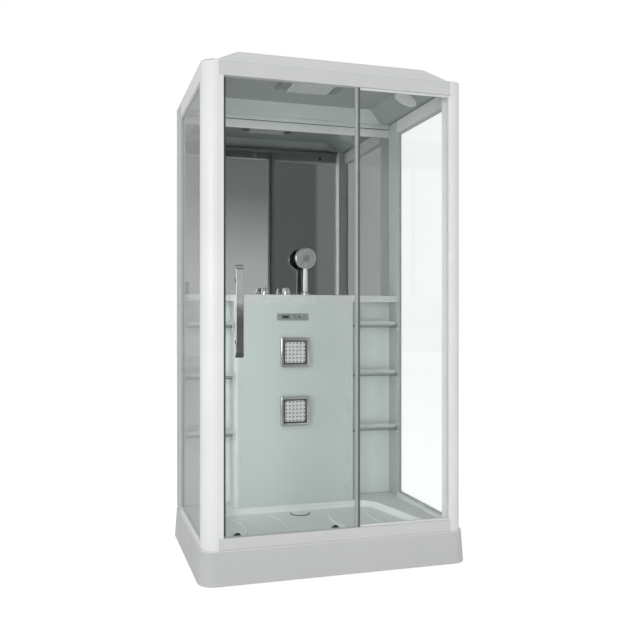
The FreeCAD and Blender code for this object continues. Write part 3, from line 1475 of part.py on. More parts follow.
BUILDERS = (make_tray, make_drain, make_support, make_frame, make_glazing, make_door, make_console,
            make_deck, make_taps, make_hand_shower, make_jets, make_panel, make_shelves,
            make_roof_screws, make_roof, make_rain_shower, make_fan, make_control_box)
for build in BUILDERS:
    build()
doc.recompute()

NODES = """
shower_tray drain_cover drain_trap tray_frame levelling_feet
post_front_left post_front_right post_back_left post_back_right
rail_front_bottom rail_front_top rails_side_top rails_side_bottom back_frame closing_jamb
glass_left glass_right glass_front_fixed glass_gaskets fixed_panel_seal mirror_panel back_panels
door_glass door_handle door_fittings door_edge_profiles
roller_top_left roller_top_right roller_bottom_left roller_bottom_right
console_shell console_glass deck_shelf
mixer_knob diverter_knob knob_collars valve_bodies
hand_shower spray_face hand_shower_holder
jet_frames jet_plate_upper jet_plate_lower
control_panel control_display key_power key_light key_fan control_box
glass_shelves shelf_rails
roof_canopy roof_screws rain_shower_panel rain_shower_plate lamp_lenses
fan_grille fan_housing fan_impeller
""".split()

broken = [item.Name for item in doc.Objects if "Invalid" in item.State or "Error" in item.State]
if broken:
    raise RuntimeError("objects that failed: " + ", ".join(broken))
by_label = {item.Label: item for item in doc.Objects}
os.makedirs("parts", exist_ok=True)
for label in NODES:
    shape = by_label[label].Shape
    if shape.isNull() or not shape.isValid() or not shape.Solids:
        raise RuntimeError(f"{label} has no sound shape")
for label in NODES:
    by_label[label].Shape.exportStep(f"parts/{label}.step")
whole = FreeCAD.BoundBox()
for label in NODES:
    whole.add(by_label[label].Shape.BoundBox)
print(len(NODES), "nodes")
print("size", [round(value, 1) for value in (whole.XLength, whole.YLength, whole.ZLength)])
print("lowest", round(whole.ZMin, 3), "highest", round(whole.ZMax, 1))
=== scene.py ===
import json
import math
from collections import namedtuple

import bpy
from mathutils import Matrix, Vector


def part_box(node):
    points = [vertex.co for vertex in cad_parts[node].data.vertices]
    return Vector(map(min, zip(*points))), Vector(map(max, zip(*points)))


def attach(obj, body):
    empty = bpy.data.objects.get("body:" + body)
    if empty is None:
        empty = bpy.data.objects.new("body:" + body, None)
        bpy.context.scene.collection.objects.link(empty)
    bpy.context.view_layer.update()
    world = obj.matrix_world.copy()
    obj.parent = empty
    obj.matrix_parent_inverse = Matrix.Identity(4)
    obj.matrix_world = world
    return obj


# Shower cabin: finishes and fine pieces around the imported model. +Z up, and the front faces -Y.
# The finishes and the studio count in metres. The shaping helpers and the pieces count in millimetres.

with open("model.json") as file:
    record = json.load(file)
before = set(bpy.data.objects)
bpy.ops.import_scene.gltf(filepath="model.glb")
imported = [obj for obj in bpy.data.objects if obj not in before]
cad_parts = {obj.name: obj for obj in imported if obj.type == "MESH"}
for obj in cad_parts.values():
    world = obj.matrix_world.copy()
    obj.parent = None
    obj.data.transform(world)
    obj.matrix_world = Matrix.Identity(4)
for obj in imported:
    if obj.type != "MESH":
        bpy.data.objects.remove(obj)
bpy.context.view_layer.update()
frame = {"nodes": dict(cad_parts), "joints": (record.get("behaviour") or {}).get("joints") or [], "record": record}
nodes = frame["nodes"]
MM = 0.001
WHITE = (1, 1, 1, 1)
FORWARD, BACKWARD = (0, -1, 0), (0, 1, 0)
UP, DOWN, RIGHT = (0, 0, 1), (0, 0, -1), (1, 0, 0)
Extent = namedtuple("Extent", "low high middle")


# Colours and finishes

def shade(red, green, blue):
    """A colour given as 0 to 255, as the shader wants it."""
    def linear(value):
        share = value / 255
        return share / 12.92 if share <= 0.04045 else ((share + 0.055) / 1.055) ** 2.4
    return (linear(red), linear(green), linear(blue), 1)


def new_finish(name, colour, roughness, metallic=0.0, coat=0.0):
    """A material with one Principled shader whose even settings are on its own sockets."""
    finish = bpy.data.materials.new(name)
    finish.use_nodes = True
    preset(shader_of(finish), {"Base Color": shade(*colour), "Roughness": roughness, "Metallic": metallic,
                               "Coat Weight": coat, "Coat Roughness": 0.05})
    return finish


def shader_of(finish):
    return finish.node_tree.nodes["Principled BSDF"]


def node(finish, kind, **settings):
    made = finish.node_tree.nodes.new(kind)
    for key, value in settings.items():
        setattr(made, key, value)
    return made


def preset(made, values):
    """Set a node's even inputs by their names."""
    for socket, value in values.items():
        made.inputs[socket].default_value = value
    return made


def link(finish, source, target):
    finish.node_tree.links.new(source, target)


def paint(finish, source, socket="Base Color"):
    """Let a node's output set the colour, or another of the shader's sockets."""
    link(finish, source, shader_of(finish).inputs[socket])


def show(finish, source):
    """Let a node's output be the finish's whole surface."""
    link(finish, source, finish.node_tree.nodes["Material Output"].inputs["Surface"])


def reckon(finish, operation, *values):
    """The result of a math operation on nodes' outputs and plain numbers."""
    made = node(finish, "ShaderNodeMath", operation=operation)
    for socket, value in zip(made.inputs, values):
        if isinstance(value, (int, float)):
            socket.default_value = value
        else:
            link(finish, value, socket)
    return made.outputs["Value"]


def place_on(finish, stretch=(1, 1, 1)):
    """Object coordinates, stretched along each axis."""
    where = node(finish, "ShaderNodeTexCoord")
    mapping = preset(node(finish, "ShaderNodeMapping"), {"Scale": stretch})
    link(finish, where.outputs["Object"], mapping.inputs["Vector"])
    return mapping.outputs["Vector"]


def place_along(finish, axis):
    """The object coordinate along one axis."""
    split = node(finish, "ShaderNodeSeparateXYZ")
    link(finish, place_on(finish), split.inputs["Vector"])
    return split.outputs[axis]


def grain(finish, scale, stretch=(1, 1, 1)):
    """A noise over the piece, as a value from 0 to 1."""
    noise = preset(node(finish, "ShaderNodeTexNoise"), {"Scale": scale, "Detail": 3})
    link(finish, place_on(finish, stretch), noise.inputs["Vector"])
    return noise.outputs["Fac"]


def ramp(finish, value, low, high, start=0.35, end=0.65):
    """A value remapped from start and end, by default a noise's middle, to low and high."""
    spread = preset(node(finish, "ShaderNodeMapRange"),
                    {"From Min": start, "From Max": end, "To Min": low, "To Max": high})
    link(finish, value, spread.inputs["Value"])
    return spread.outputs["Result"]


def drift(finish, scale, stretch=(1, 1, 1)):
    """A soft change from 0 to 1 and back over the piece."""
    return ramp(finish, grain(finish, scale, stretch), 0, 1)


def mixed(finish, value, first, second):
    """The first where the value is 0 and the second where it is 1: each a colour or a node's output."""
    mix = node(finish, "ShaderNodeMix", data_type="RGBA")
    link(finish, value, mix.inputs["Factor"])
    for name, colour in (("A", first), ("B", second)):
        if isinstance(colour, tuple):
            mix.inputs[name].default_value = colour if len(colour) == 4 else shade(*colour)
        else:
            link(finish, colour, mix.inputs[name])
    return mix.outputs["Result"]


def tint(finish, first, second, scale, stretch=(1, 1, 1)):
    """Let the colour drift between two close shades."""
    paint(finish, mixed(finish, drift(finish, scale, stretch), first, second))


def haze(finish, scale, low, high, stretch=(1, 1, 1)):
    """Let the roughness vary, as wiped and handled surfaces do."""
    paint(finish, ramp(finish, grain(finish, scale, stretch), low, high), "Roughness")


def ripple(finish, scale, depth, strength=0.3, stretch=(1, 1, 1)):
    """A fine unevenness of the surface."""
    bump = preset(node(finish, "ShaderNodeBump"), {"Strength": strength, "Distance": depth})
    link(finish, grain(finish, scale, stretch), bump.inputs["Height"])
    paint(finish, bump.outputs["Normal"], "Normal")


def facing(finish, axis, sign=1, level=0.3):
    """1 where the surface faces along the signed axis by more than the level, else 0."""
    geometry = node(finish, "ShaderNodeNewGeometry")
    split = node(finish, "ShaderNodeSeparateXYZ")
    link(finish, geometry.outputs["True Normal"], split.inputs["Vector"])
    test = "GREATER_THAN" if sign > 0 else "LESS_THAN"
    return reckon(finish, test, split.outputs[axis], sign * level)


def shaded_by_facing(finish, colour, *sides):
    """A colour, with other colours painted on the faces that look along (axis, sign, level): painted light and
    shade by facing.
    """
    for axis, sign, level, other in sides:
        colour = mixed(finish, facing(finish, axis, sign, level), colour, other)
    return colour


def painted_light_by_facing(finish, *sides):
    """Paint light and shade: give the faces that look along some sides lighter or darker colours of their own."""
    socket = shader_of(finish).inputs["Base Color"]
    paint(finish, shaded_by_facing(finish, socket.links[0].from_socket, *sides))
    return finish


def powder_coat(name="satin_powder_coat", level=226):
    finish = new_finish(name, (level, level + 1, level + 1), 0.42, coat=0.12)
    tint(finish, (level - 2, level - 1, level - 1), (level + 3, level + 4, level + 4), 3)
    haze(finish, 14, 0.34, 0.46)
    ripple(finish, 900, 0.2 * MM, 0.12)
    return finish


def basin_painted_light_mask(finish):
    """1 inside the tray's rim, where the acrylic is painted whiter as painted light, and 0 on the skirt."""
    reach = {"X": 555 * MM, "Y": 420 * MM}
    inside = [reckon(finish, "LESS_THAN", reckon(finish, "ABSOLUTE", place_along(finish, axis)), half)
              for axis, half in reach.items()]
    return reckon(finish, "MULTIPLY", *inside)


def tray_acrylic_painted_light():
    """A satin skirt with a painted highlight on its upward edge, and a white basin painted whiter than the skirt
    as painted light, whose curves carry painted highlights that make them whiter than its floor.
    """
    finish = new_finish("tray_acrylic_painted_light", (204, 206, 206), 0.3, coat=0.1)
    soft = drift(finish, 1.2)
    skirt = mixed(finish, soft, (190, 192, 192), (195, 197, 196))
    basin = mixed(finish, soft, (240, 244, 243), (245, 248, 247))
    # Painted light: the basin is painted whiter than the skirt, the skirt's upward faces lighter, and the basin's
    # curved faces whiter than its flat floor.
    paint(finish, mixed(finish, basin_painted_light_mask(finish),
                        shaded_by_facing(finish, skirt, ("Z", 1, 0.15, (216, 218, 217))),
                        shaded_by_facing(finish, basin, ("Z", 1, 0.997, (224, 228, 227)))))
    haze(finish, 6, 0.28, 0.38)
    ripple(finish, 60, 0.6 * MM, 0.08)
    return finish


def roof_acrylic_painted_light_and_shade():
    """Satin outside and pale slopes inside, with painted light and shade by facing: painted shade on faces towards
    -X and towards +Y, a greyer flat ceiling that is painted shade, and painted light on the faces that look up.
    """
    finish = new_finish("roof_acrylic_painted_light_and_shade", (226, 227, 227), 0.36, coat=0.08)
    slopes = mixed(finish, drift(finish, 1.5), (212, 218, 216), (217, 223, 221))
    # Painted shade on the faces towards -X and +Y and on the flat ceiling; painted light on the faces that look
    # up.
    paint(finish, shaded_by_facing(finish, slopes,
                          ("X", -1, 0.2, (170, 176, 174)), ("Y", 1, 0.2, (206, 211, 209)),
                          ("Z", -1, 0.97, (168, 174, 172)), ("Z", 1, 0.3, (235, 236, 236))))
    haze(finish, 8, 0.32, 0.42)
    return finish


def lamps_pass(finish, colour):
    """Let the lamps' light through glass, so that it doesn't shade what is behind it."""
    path = node(finish, "ShaderNodeLightPath")
    clear = preset(node(finish, "ShaderNodeBsdfTransparent"), {"Color": shade(*colour)})
    mix = node(finish, "ShaderNodeMixShader")
    link(finish, path.outputs["Is Shadow Ray"], mix.inputs["Fac"])
    link(finish, shader_of(finish).outputs["BSDF"], mix.inputs[1])
    link(finish, clear.outputs["BSDF"], mix.inputs[2])
    show(finish, mix.outputs["Shader"])


def clear_glass():
    finish = new_finish("clear_safety_glass", (253, 254, 254), 0)
    preset(shader_of(finish), {"Transmission Weight": 1, "IOR": 1.16})
    tint(finish, (252, 254, 253), (253, 254, 254), 1.5)
    lamps_pass(finish, (250, 253, 252))
    return finish


def coated_glass(name, first, second, roughness=0.06, coat=0.6):
    """Glass with a colour coat on its back: gloss over an even colour."""
    finish = new_finish(name, first, roughness, coat=coat)
    tint(finish, first, second, 1.6, (1, 1, 0.6))
    haze(finish, 5, roughness * 0.9, roughness * 1.15)
    return finish


def plain_back(finish, front, colour):
    """A metal whose faces towards the back have a plain colour. Returns 1 on those faces, else 0."""
    back = facing(finish, "Y")
    paint(finish, mixed(finish, back, front, colour))
    paint(finish, ramp(finish, back, 1, 0, 0, 1), "Metallic")
    return back


def mirror_silver():
    """A grey tinted mirror with a painted back."""
    finish = new_finish("tinted_mirror", (205, 207, 207), 0.01, metallic=1)
    silver = mixed(finish, drift(finish, 1.5), (200, 203, 203), (206, 208, 208))
    back = plain_back(finish, silver, (150, 153, 156))
    paint(finish, ramp(finish, back, 0.01, 0.55, 0, 1), "Roughness")
    return finish


def chrome(name="polished_chrome", colour=(208, 209, 210), low=0.03, high=0.12):
    finish = new_finish(name, colour, low, metallic=1)
    tint(finish, tuple(value - 6 for value in colour), colour, 12)
    haze(finish, 30, low, high)
    return finish


def shower_chrome():
    """Chrome in front and a black moulded back."""
    finish = chrome("hand_shower_chrome", (214, 215, 216), 0.04, 0.14)
    plain_back(finish, (214, 215, 216), (34, 35, 37))
    return finish


def spray_chrome():
    """The hand shower's satin face."""
    finish = chrome("spray_face_chrome", (224, 226, 227), 0.14, 0.24)
    preset(shader_of(finish), {"Metallic": 0.5})
    return finish


def handle_chrome():
    """Polished chrome whose turned-back lower end is painted darker, a painted dark reflection."""
    finish = chrome("door_handle_chrome_painted_reflection")
    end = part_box(nodes["door_handle"].name)[0][2] + 20 * MM
    # Painted reflection: the lower end is painted darker.
    upper = ramp(finish, place_along(finish, "Z"), 0, 1, end, end + 1 * MM)
    paint(finish, mixed(finish, upper, (96, 98, 99), (208, 209, 210)))
    return finish


def brushed(name, colour, stretch):
    """Metal with fine scratches across the stretched axis."""
    finish = new_finish(name, colour, 0.3, metallic=1)
    tint(finish, tuple(value - 14 for value in colour), colour, 300, stretch)
    haze(finish, 260, 0.22, 0.38, stretch)
    ripple(finish, 400, 0.1 * MM, 0.1, stretch)
    return finish


def moulded(name, colour, low, high, texture=500, depth=0.1 * MM):
    """A moulded plastic or rubber, with a fine texture."""
    finish = new_finish(name, colour, low)
    tint(finish, tuple(value - 5 for value in colour), colour, 20)
    haze(finish, 40, low, high)
    ripple(finish, texture, depth, 0.15)
    return finish


def glazing_gasket_painted_light():
    """Grey round the side panes, and painted pale round the front pane as painted light."""
    finish = moulded("glazing_gasket_painted_light", (146, 150, 150), 0.5, 0.65)
    front = ramp(finish, place_along(finish, "Y"), 1, 0, -400 * MM, -399 * MM)
    # Painted light: the gasket round the front pane is painted pale.
    paint(finish, mixed(finish, front, (188, 192, 191), (222, 224, 224)))
    return finish


def galvanised():
    """Zinc with its pale and dark spangle."""
    finish = new_finish("galvanised_steel", (165, 168, 172), 0.45, metallic=0.8)
    cells = preset(node(finish, "ShaderNodeTexVoronoi"), {"Scale": 160})
    link(finish, place_on(finish), cells.inputs["Vector"])
    spangle = ramp(finish, cells.outputs["Distance"], 0, 1, 0.1, 0.7)
    paint(finish, mixed(finish, spangle, (150, 154, 158), (178, 181, 184)))
    paint(finish, ramp(finish, cells.outputs["Distance"], 0.35, 0.55, 0.1, 0.7), "Roughness")
    return finish


def lamp_diffuser():
    finish = moulded("frosted_lamp_lens", (214, 222, 220), 0.4, 0.55, 350, 0.2 * MM)
    preset(shader_of(finish), {"Transmission Weight": 0.15})
    return finish


POWDER = powder_coat()
# Painted shade: the front rails are a darker copy of the powder coat, and their faces towards the inside are
# darker still.
RAIL_POWDER_SHADED = painted_light_by_facing(powder_coat("front_rail_powder_coat_painted_shade", 204), ("Y", 1, 0.3, (160, 165, 163)))
# Painted shade on the left post's faces towards the inside.
LEFT_POST_POWDER_SHADED = painted_light_by_facing(powder_coat("left_post_powder_coat_painted_shade"), ("Y", 1, 0.3, (168, 172, 171)))
# Painted shade on the right post's faces towards the inside, and painted light on its faces towards -X.
RIGHT_POST_POWDER_LIT_AND_SHADED = painted_light_by_facing(powder_coat("right_post_powder_coat_painted_light_and_shade"),
                          ("Y", 1, 0.3, (214, 219, 217)), ("X", -1, 0.3, (250, 251, 251)))
# Painted shade on the back posts' faces towards the front and towards -X.
BACK_POWDER_SHADED = painted_light_by_facing(powder_coat("back_powder_coat_painted_shade"),
                    ("Y", -1, 0.3, (184, 188, 187)), ("X", -1, 0.3, (196, 200, 199)))
TRAY_PAINTED_LIGHT = tray_acrylic_painted_light()
ROOF_PAINTED_LIGHT_AND_SHADE = roof_acrylic_painted_light_and_shade()
GLASS = clear_glass()
AQUA = coated_glass("aqua_coated_glass", (243, 250, 248), (238, 246, 243), 0.2, 0.08)
CONSOLE_FACE = coated_glass("console_face_glass", (214, 223, 220), (208, 217, 214), 0.3, 0.04)
MIRROR = mirror_silver()
DISPLAY = coated_glass("display_window", (128, 136, 136), (122, 130, 130), 0.12)
LCD = coated_glass("display_screen", (44, 50, 52), (38, 44, 46), 0.1)
CHROME = chrome()
SHOWER_CHROME = shower_chrome()
HANDLE_CHROME_PAINTED_REFLECTION = handle_chrome()
JET_CHROME = chrome("jet_frame_chrome", (214, 216, 217), 0.14, 0.2)
FACE_CHROME = spray_chrome()
NICKEL = chrome("nickel_plate", (190, 186, 176), 0.16, 0.3)
SATIN = brushed("satin_steel", (196, 198, 202), (1, 1, 0.05))
ZINC = galvanised()
LAMP = lamp_diffuser()
GASKET_PAINTED_LIGHT = glazing_gasket_painted_light()
# Painted light: the seals' faces towards the inside of the cabin are painted lighter.
SEAL = painted_light_by_facing(moulded("seal_rubber", (170, 175, 174), 0.35, 0.5), ("Y", 1, 0.3, (222, 226, 225)))
DOOR_EDGE_PAINTED_LIGHT = painted_light_by_facing(moulded("door_edge_seal_painted_light", (70, 74, 74), 0.5, 0.65), ("Y", 1, 0.3, (150, 154, 153)))
PANE_LIP = moulded("pane_seal_lip", (92, 97, 97), 0.5, 0.65)
# Dark rubber for seals, stops, pads and marks; also painted shade on the roof's shadow-gap bead and under the
# drain cover.
DARK_RUBBER_AND_SHADE = moulded("dark_rubber_and_painted_shade", (62, 66, 66), 0.5, 0.65)
LIP = moulded("grey_seal_lip", (66, 70, 70), 0.5, 0.65)
BEAD = moulded("white_sealant", (214, 217, 216), 0.35, 0.5)
SHELF_RAIL = moulded("shelf_rail_satin", (206, 212, 210), 0.35, 0.45)
GLASS_EDGE = moulded("polished_glass_edge", (132, 143, 140), 0.2, 0.3)
CONSOLE_SHELL = moulded("console_moulding", (222, 225, 225), 0.5, 0.6, 200, 0.05 * MM)
CORNER_SHADE = moulded("console_corner_painted_shade", (158, 165, 164), 0.4, 0.55)
DECK = moulded("deck_moulding", (222, 224, 225), 0.27, 0.32, 200, 0.03 * MM)
PANEL = moulded("control_panel_moulding", (152, 160, 159), 0.3, 0.42)
PLATE = moulded("jet_plate_moulding", (228, 227, 227), 0.25, 0.38)
NOZZLE = moulded("nozzle_rubber", (64, 68, 70), 0.5, 0.65)
BUTTON = moulded("spray_button_plastic", (126, 130, 131), 0.4, 0.55)
BLACK = moulded("black_moulding", (34, 35, 36), 0.35, 0.5)
NYLON = moulded("roller_nylon", (206, 206, 203), 0.35, 0.5)
TRAP = moulded("trap_plastic", (206, 208, 208), 0.35, 0.5)
FAN_PLASTIC = moulded("fan_plastic", (96, 100, 104), 0.4, 0.55)
FAN_COVER = moulded("fan_cover_plastic", (236, 238, 237), 0.3, 0.4)
RAIN_PANEL = moulded("rain_panel_plastic", (176, 182, 180), 0.3, 0.42)
RAIN_PLATE = moulded("rain_plate_moulding", (226, 229, 228), 0.28, 0.4)
RAIN_DOT = moulded("rain_nozzle_rubber", (196, 201, 200), 0.4, 0.55)
LOUVRE = moulded("louvre_plastic", (156, 163, 161), 0.35, 0.5)
BOX_PLASTIC = moulded("control_box_plastic", (216, 217, 214), 0.4, 0.55, 300, 0.3 * MM)

FINISHED_NODES = (
    (TRAY_PAINTED_LIGHT, "shower_tray drain_cover"), (TRAP, "drain_trap"), (ZINC, "tray_frame levelling_feet"),
    (POWDER, "rails_side_top rails_side_bottom back_frame"),
    (RAIL_POWDER_SHADED, "rail_front_bottom rail_front_top"),
    (LEFT_POST_POWDER_SHADED, "post_front_left closing_jamb"), (RIGHT_POST_POWDER_LIT_AND_SHADED, "post_front_right"),
    (BACK_POWDER_SHADED, "post_back_left post_back_right"),
    (GLASS, "glass_left glass_right glass_front_fixed door_glass glass_shelves"),
    (GASKET_PAINTED_LIGHT, "glass_gaskets"), (SEAL, "fixed_panel_seal"), (DOOR_EDGE_PAINTED_LIGHT, "door_edge_profiles"),
    (MIRROR, "mirror_panel"), (AQUA, "back_panels"), (HANDLE_CHROME_PAINTED_REFLECTION, "door_handle"),
    (CHROME, "door_fittings mixer_knob diverter_knob knob_collars hand_shower_holder"),
    (NYLON, "roller_top_left roller_top_right roller_bottom_left roller_bottom_right"),
    (CONSOLE_SHELL, "console_shell"), (CONSOLE_FACE, "console_glass"), (DECK, "deck_shelf"),
    (NICKEL, "valve_bodies"), (SHOWER_CHROME, "hand_shower"), (FACE_CHROME, "spray_face"),
    (JET_CHROME, "jet_frames"), (PLATE, "jet_plate_upper jet_plate_lower"),
    (PANEL, "control_panel"), (DISPLAY, "control_display"),
    (SATIN, "key_power key_light key_fan roof_screws"),
    (BOX_PLASTIC, "control_box"), (SHELF_RAIL, "shelf_rails"), (ROOF_PAINTED_LIGHT_AND_SHADE, "roof_canopy"),
    (RAIN_PANEL, "rain_shower_panel"), (RAIN_PLATE, "rain_shower_plate"), (LAMP, "lamp_lenses"),
    (FAN_COVER, "fan_grille"), (FAN_PLASTIC, "fan_housing fan_impeller"),
)
for finish, names in FINISHED_NODES:
    for name in names.split():
        nodes[name].data.materials.clear()
        nodes[name].data.materials.append(finish)


# Shaping by hand

def leave_edit_mode():
    if bpy.context.mode != "OBJECT":
        bpy.ops.object.mode_set(mode="OBJECT")


def set_down():
    """Leave edit mode with nothing selected."""
    leave_edit_mode()
    bpy.ops.object.select_all(action="DESELECT")


def take_up():
    """Apply the new primitive's place and open it in edit mode, all of it selected."""
    bpy.ops.object.transform_apply(location=True, rotation=True, scale=True)
    bpy.ops.object.mode_set(mode="EDIT")
    bpy.ops.mesh.select_mode(type="FACE")
    bpy.ops.mesh.select_all(action="SELECT")
    return bpy.context.object


def block(low, high):
    """A block between two corners."""
    set_down()
    low, high = Vector(low) * MM, Vector(high) * MM
    bpy.ops.mesh.primitive_cube_add(size=1, location=(low + high) / 2)
    bpy.context.object.scale = high - low
    return take_up()


def slat(start, direction, length, width, height):
    """A flat bar from its start along a direction."""
    set_down()
    direction = Vector(direction).normalized()
    bpy.ops.mesh.primitive_cube_add(size=1, location=(Vector(start) + direction * length / 2) * MM,
                                    rotation=direction.to_track_quat("Z", "Y").to_euler())
    bpy.context.object.scale = Vector((width, height, length)) * MM
    return take_up()


def rod(start, direction, radius, length, sides=32):
    """A round or many-sided rod from its start along a direction."""
    set_down()
    direction = Vector(direction).normalized()
    bpy.ops.mesh.primitive_cylinder_add(vertices=sides, radius=radius * MM, depth=length * MM,
                                        location=(Vector(start) + direction * length / 2) * MM,
                                        rotation=direction.to_track_quat("Z", "Y").to_euler())
    return take_up()


def pick(piece, wanted):
    """Select the faces that the test picks out."""
    bpy.ops.mesh.select_all(action="DESELECT")
    bpy.ops.object.mode_set(mode="OBJECT")
    for face in piece.data.polygons:
        face.select = wanted(face)
    bpy.ops.object.mode_set(mode="EDIT")


def pick_facing(piece, direction):
    """Select the faces that look along a direction."""
    direction = Vector(direction).normalized()
    pick(piece, lambda face: face.normal.dot(direction) > 0.9)


def pick_ends(piece, direction):
    """Select the faces that look either way along a direction."""
    direction = Vector(direction).normalized()
    pick(piece, lambda face: abs(face.normal.dot(direction)) > 0.9)


def step_faces(*steps):
    """Inset the selected faces and raise or sink them, once for each (inset, rise)."""
    for inset, rise in steps:
        bpy.ops.mesh.inset(thickness=inset * MM, depth=rise * MM)


def stepped(piece, direction, *steps):
    """Inset the faces that look along a direction and raise or sink them, for each (inset, rise)."""
    pick_facing(piece, direction)
    step_faces(*steps)


def open_through(piece, direction, wall):
    """Leave only a wall round the piece, open along a direction."""
    pick_ends(piece, direction)
    step_faces((wall, 0))
    bpy.ops.mesh.bridge_edge_loops()


def hoop(start, direction, radius, length, wall, sides=32):
    """A round ring from its start along a direction."""
    made = rod(start, direction, radius, length, sides)
    open_through(made, direction, wall)
    return made


def move(step):
    """Move what is selected."""
    bpy.ops.transform.translate(value=Vector(step) * MM)


def resize(shares, centre):
    """Scale what is selected about a centre."""
    bpy.ops.transform.resize(value=shares, center_override=Vector(centre) * MM)


def cut_off(place, outward):
    """Cut the selected shape at a place, close the cut and drop what lies outward of it."""
    bpy.ops.mesh.bisect(plane_co=Vector(place) * MM, plane_no=outward, use_fill=True, clear_outer=True)


def finished_with(kind, **settings):
    """Put a modifier on the piece in hand and apply it."""
    leave_edit_mode()
    modifier = bpy.context.object.modifiers.new(kind.lower(), kind)
    for key, value in settings.items():
        setattr(modifier, key, value)
    bpy.ops.object.modifier_apply(modifier=modifier.name)


def soften(width, segments=2, angle=30):
    """Round the piece's edges that turn by more than the angle."""
    finished_with("BEVEL", width=width * MM, segments=segments, limit_method="ANGLE",
                  angle_limit=math.radians(angle))


def thicken(wall):
    """Give an open skin its wall, inwards."""
    finished_with("SOLIDIFY", thickness=wall * MM, offset=-1)


def in_a_row(count, step):
    """Repeat the piece along a step."""
    finished_with("ARRAY", count=count, use_relative_offset=False, use_constant_offset=True,
                  constant_offset_displace=Vector(step) * MM)


def all_round(count, centre, axis):
    """Repeat the whole piece evenly round an axis."""
    if bpy.context.mode == "OBJECT":
        bpy.ops.object.mode_set(mode="EDIT")
    bpy.ops.mesh.select_all(action="SELECT")
    turn = 2 * math.pi * (count - 1) / count
    bpy.ops.mesh.spin(steps=count - 1, dupli=True, angle=turn, center=Vector(centre) * MM, axis=axis)


def as_one(pieces):
    """Join finished shapes into one piece."""
    set_down()
    for piece in pieces:
        piece.select_set(True)
    bpy.context.view_layer.objects.active = pieces[0]
    if len(pieces) > 1:
        bpy.ops.object.join()
    return pieces[0]


def fit(shapes, name, finish, body="cabin", angle=35):
    """Join and shade the finished shapes, and give the piece its name, body and finish."""
    piece = as_one(shapes if isinstance(shapes, list) else [shapes])
    bpy.ops.object.mode_set(mode="EDIT")
    bpy.ops.mesh.select_all(action="SELECT")
    bpy.ops.mesh.normals_make_consistent(inside=False)
    bpy.ops.object.mode_set(mode="OBJECT")
    piece.name = name
    piece.data.name = name
    bpy.ops.object.shade_smooth_by_angle(angle=math.radians(angle))
    piece.data.materials.clear()
    piece.data.materials.append(finish)
    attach(piece, body)


def extent(name):
    """The lowest corner, highest corner and middle of a CAD node."""
    low, high = (Vector(corner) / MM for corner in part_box(nodes[name].name))
    return Extent(low, high, (low + high) / 2)


def named(rows, name):
    """The joint or mount that has a name."""
    return next(row for row in rows if row["name"] == name)


def place_of(row):
    """A joint's or a mount's place."""
    return Vector(row["pos_m"]) / MM


def thread(start, direction, radius, length, pitch=2, sides=24):
    """Rings of a screw thread on a rod."""
    flank = 0.3 * pitch
    ring = rod(start, direction, radius, flank, sides)
    pick_ends(ring, direction)
    step_faces((flank, flank))
    in_a_row(int(length / pitch), Vector(direction) * pitch)
    return ring


def screw_head(place, direction, radius, height):
    """A domed screw head with a round socket, seated at its place."""
    head = rod(place, direction, radius, 0.4 * height, 24)
    stepped(head, direction, (0.25 * radius, 0.4 * height), (0.25 * radius, 0.2 * height),
            (0.1 * radius, -0.5 * height))
    return head


# Jets, hand shower and taps

def jet_nozzles(level):
    """Six rows of six soft nozzles, each with its hole, on a jet's plate."""
    low, high, middle = extent(f"jet_plate_{level}")
    rows, radius, sunk, proud = 6, 3.6, 0.5, 1.1
    pitch = (high.x - low.x) / (rows - 0.4)
    reach = (rows - 1) / 2 * pitch
    nozzle = rod((middle.x - reach, low.y + sunk, middle.z - reach), FORWARD, radius, sunk + proud, 14)
    stepped(nozzle, FORWARD, (0.6, 0.5), (0.9, 0), (0.2, -1.2))
    in_a_row(rows, (pitch, 0, 0))
    in_a_row(rows, (0, 0, pitch))
    fit(nozzle, f"jet_nozzles_{level}", NOZZLE, f"{level}_jet")


def jet_trims(level):
    """A jet's sloping polished trim, the dark lip and seal inside it, and a groove line on the plate."""
    front = extent("jet_frames").low.y
    low, high, middle = extent(f"jet_plate_{level}")

    def square(margin, near, far):
        half = (high.x - low.x) / 2 + margin
        return block((middle.x - half, near, middle.z - half), (middle.x + half, far, middle.z + half))

    def ring(margin, near, far, wall, rounding):
        made = square(margin, near, far)
        open_through(made, BACKWARD, wall)
        soften(rounding)
        return made

    trim_margin, lip_margin, seal_margin, line_margin = 21, 7.4, 3, -3
    trim = square(trim_margin, front - 1, front + 2)
    stepped(trim, FORWARD, (2, 1.5), (9, 3))
    open_through(trim, BACKWARD, 3)
    soften(0.5)
    fit(trim, f"jet_trim_{level}", JET_CHROME)
    lip = ring(lip_margin, front - 1.4, front + 1, 4.2, 0.5)
    fit(lip, f"jet_lip_{level}", LIP)
    seal = ring(seal_margin, low.y + 7.4, low.y + 9.4, 1.4, 0.3)
    fit(seal, f"jet_seal_{level}", DARK_RUBBER_AND_SHADE)
    groove_line = ring(line_margin, low.y - 0.5, low.y + 0.5, 0.9, 0.2)
    fit(groove_line, f"jet_plate_line_{level}", PLATE, f"{level}_jet")


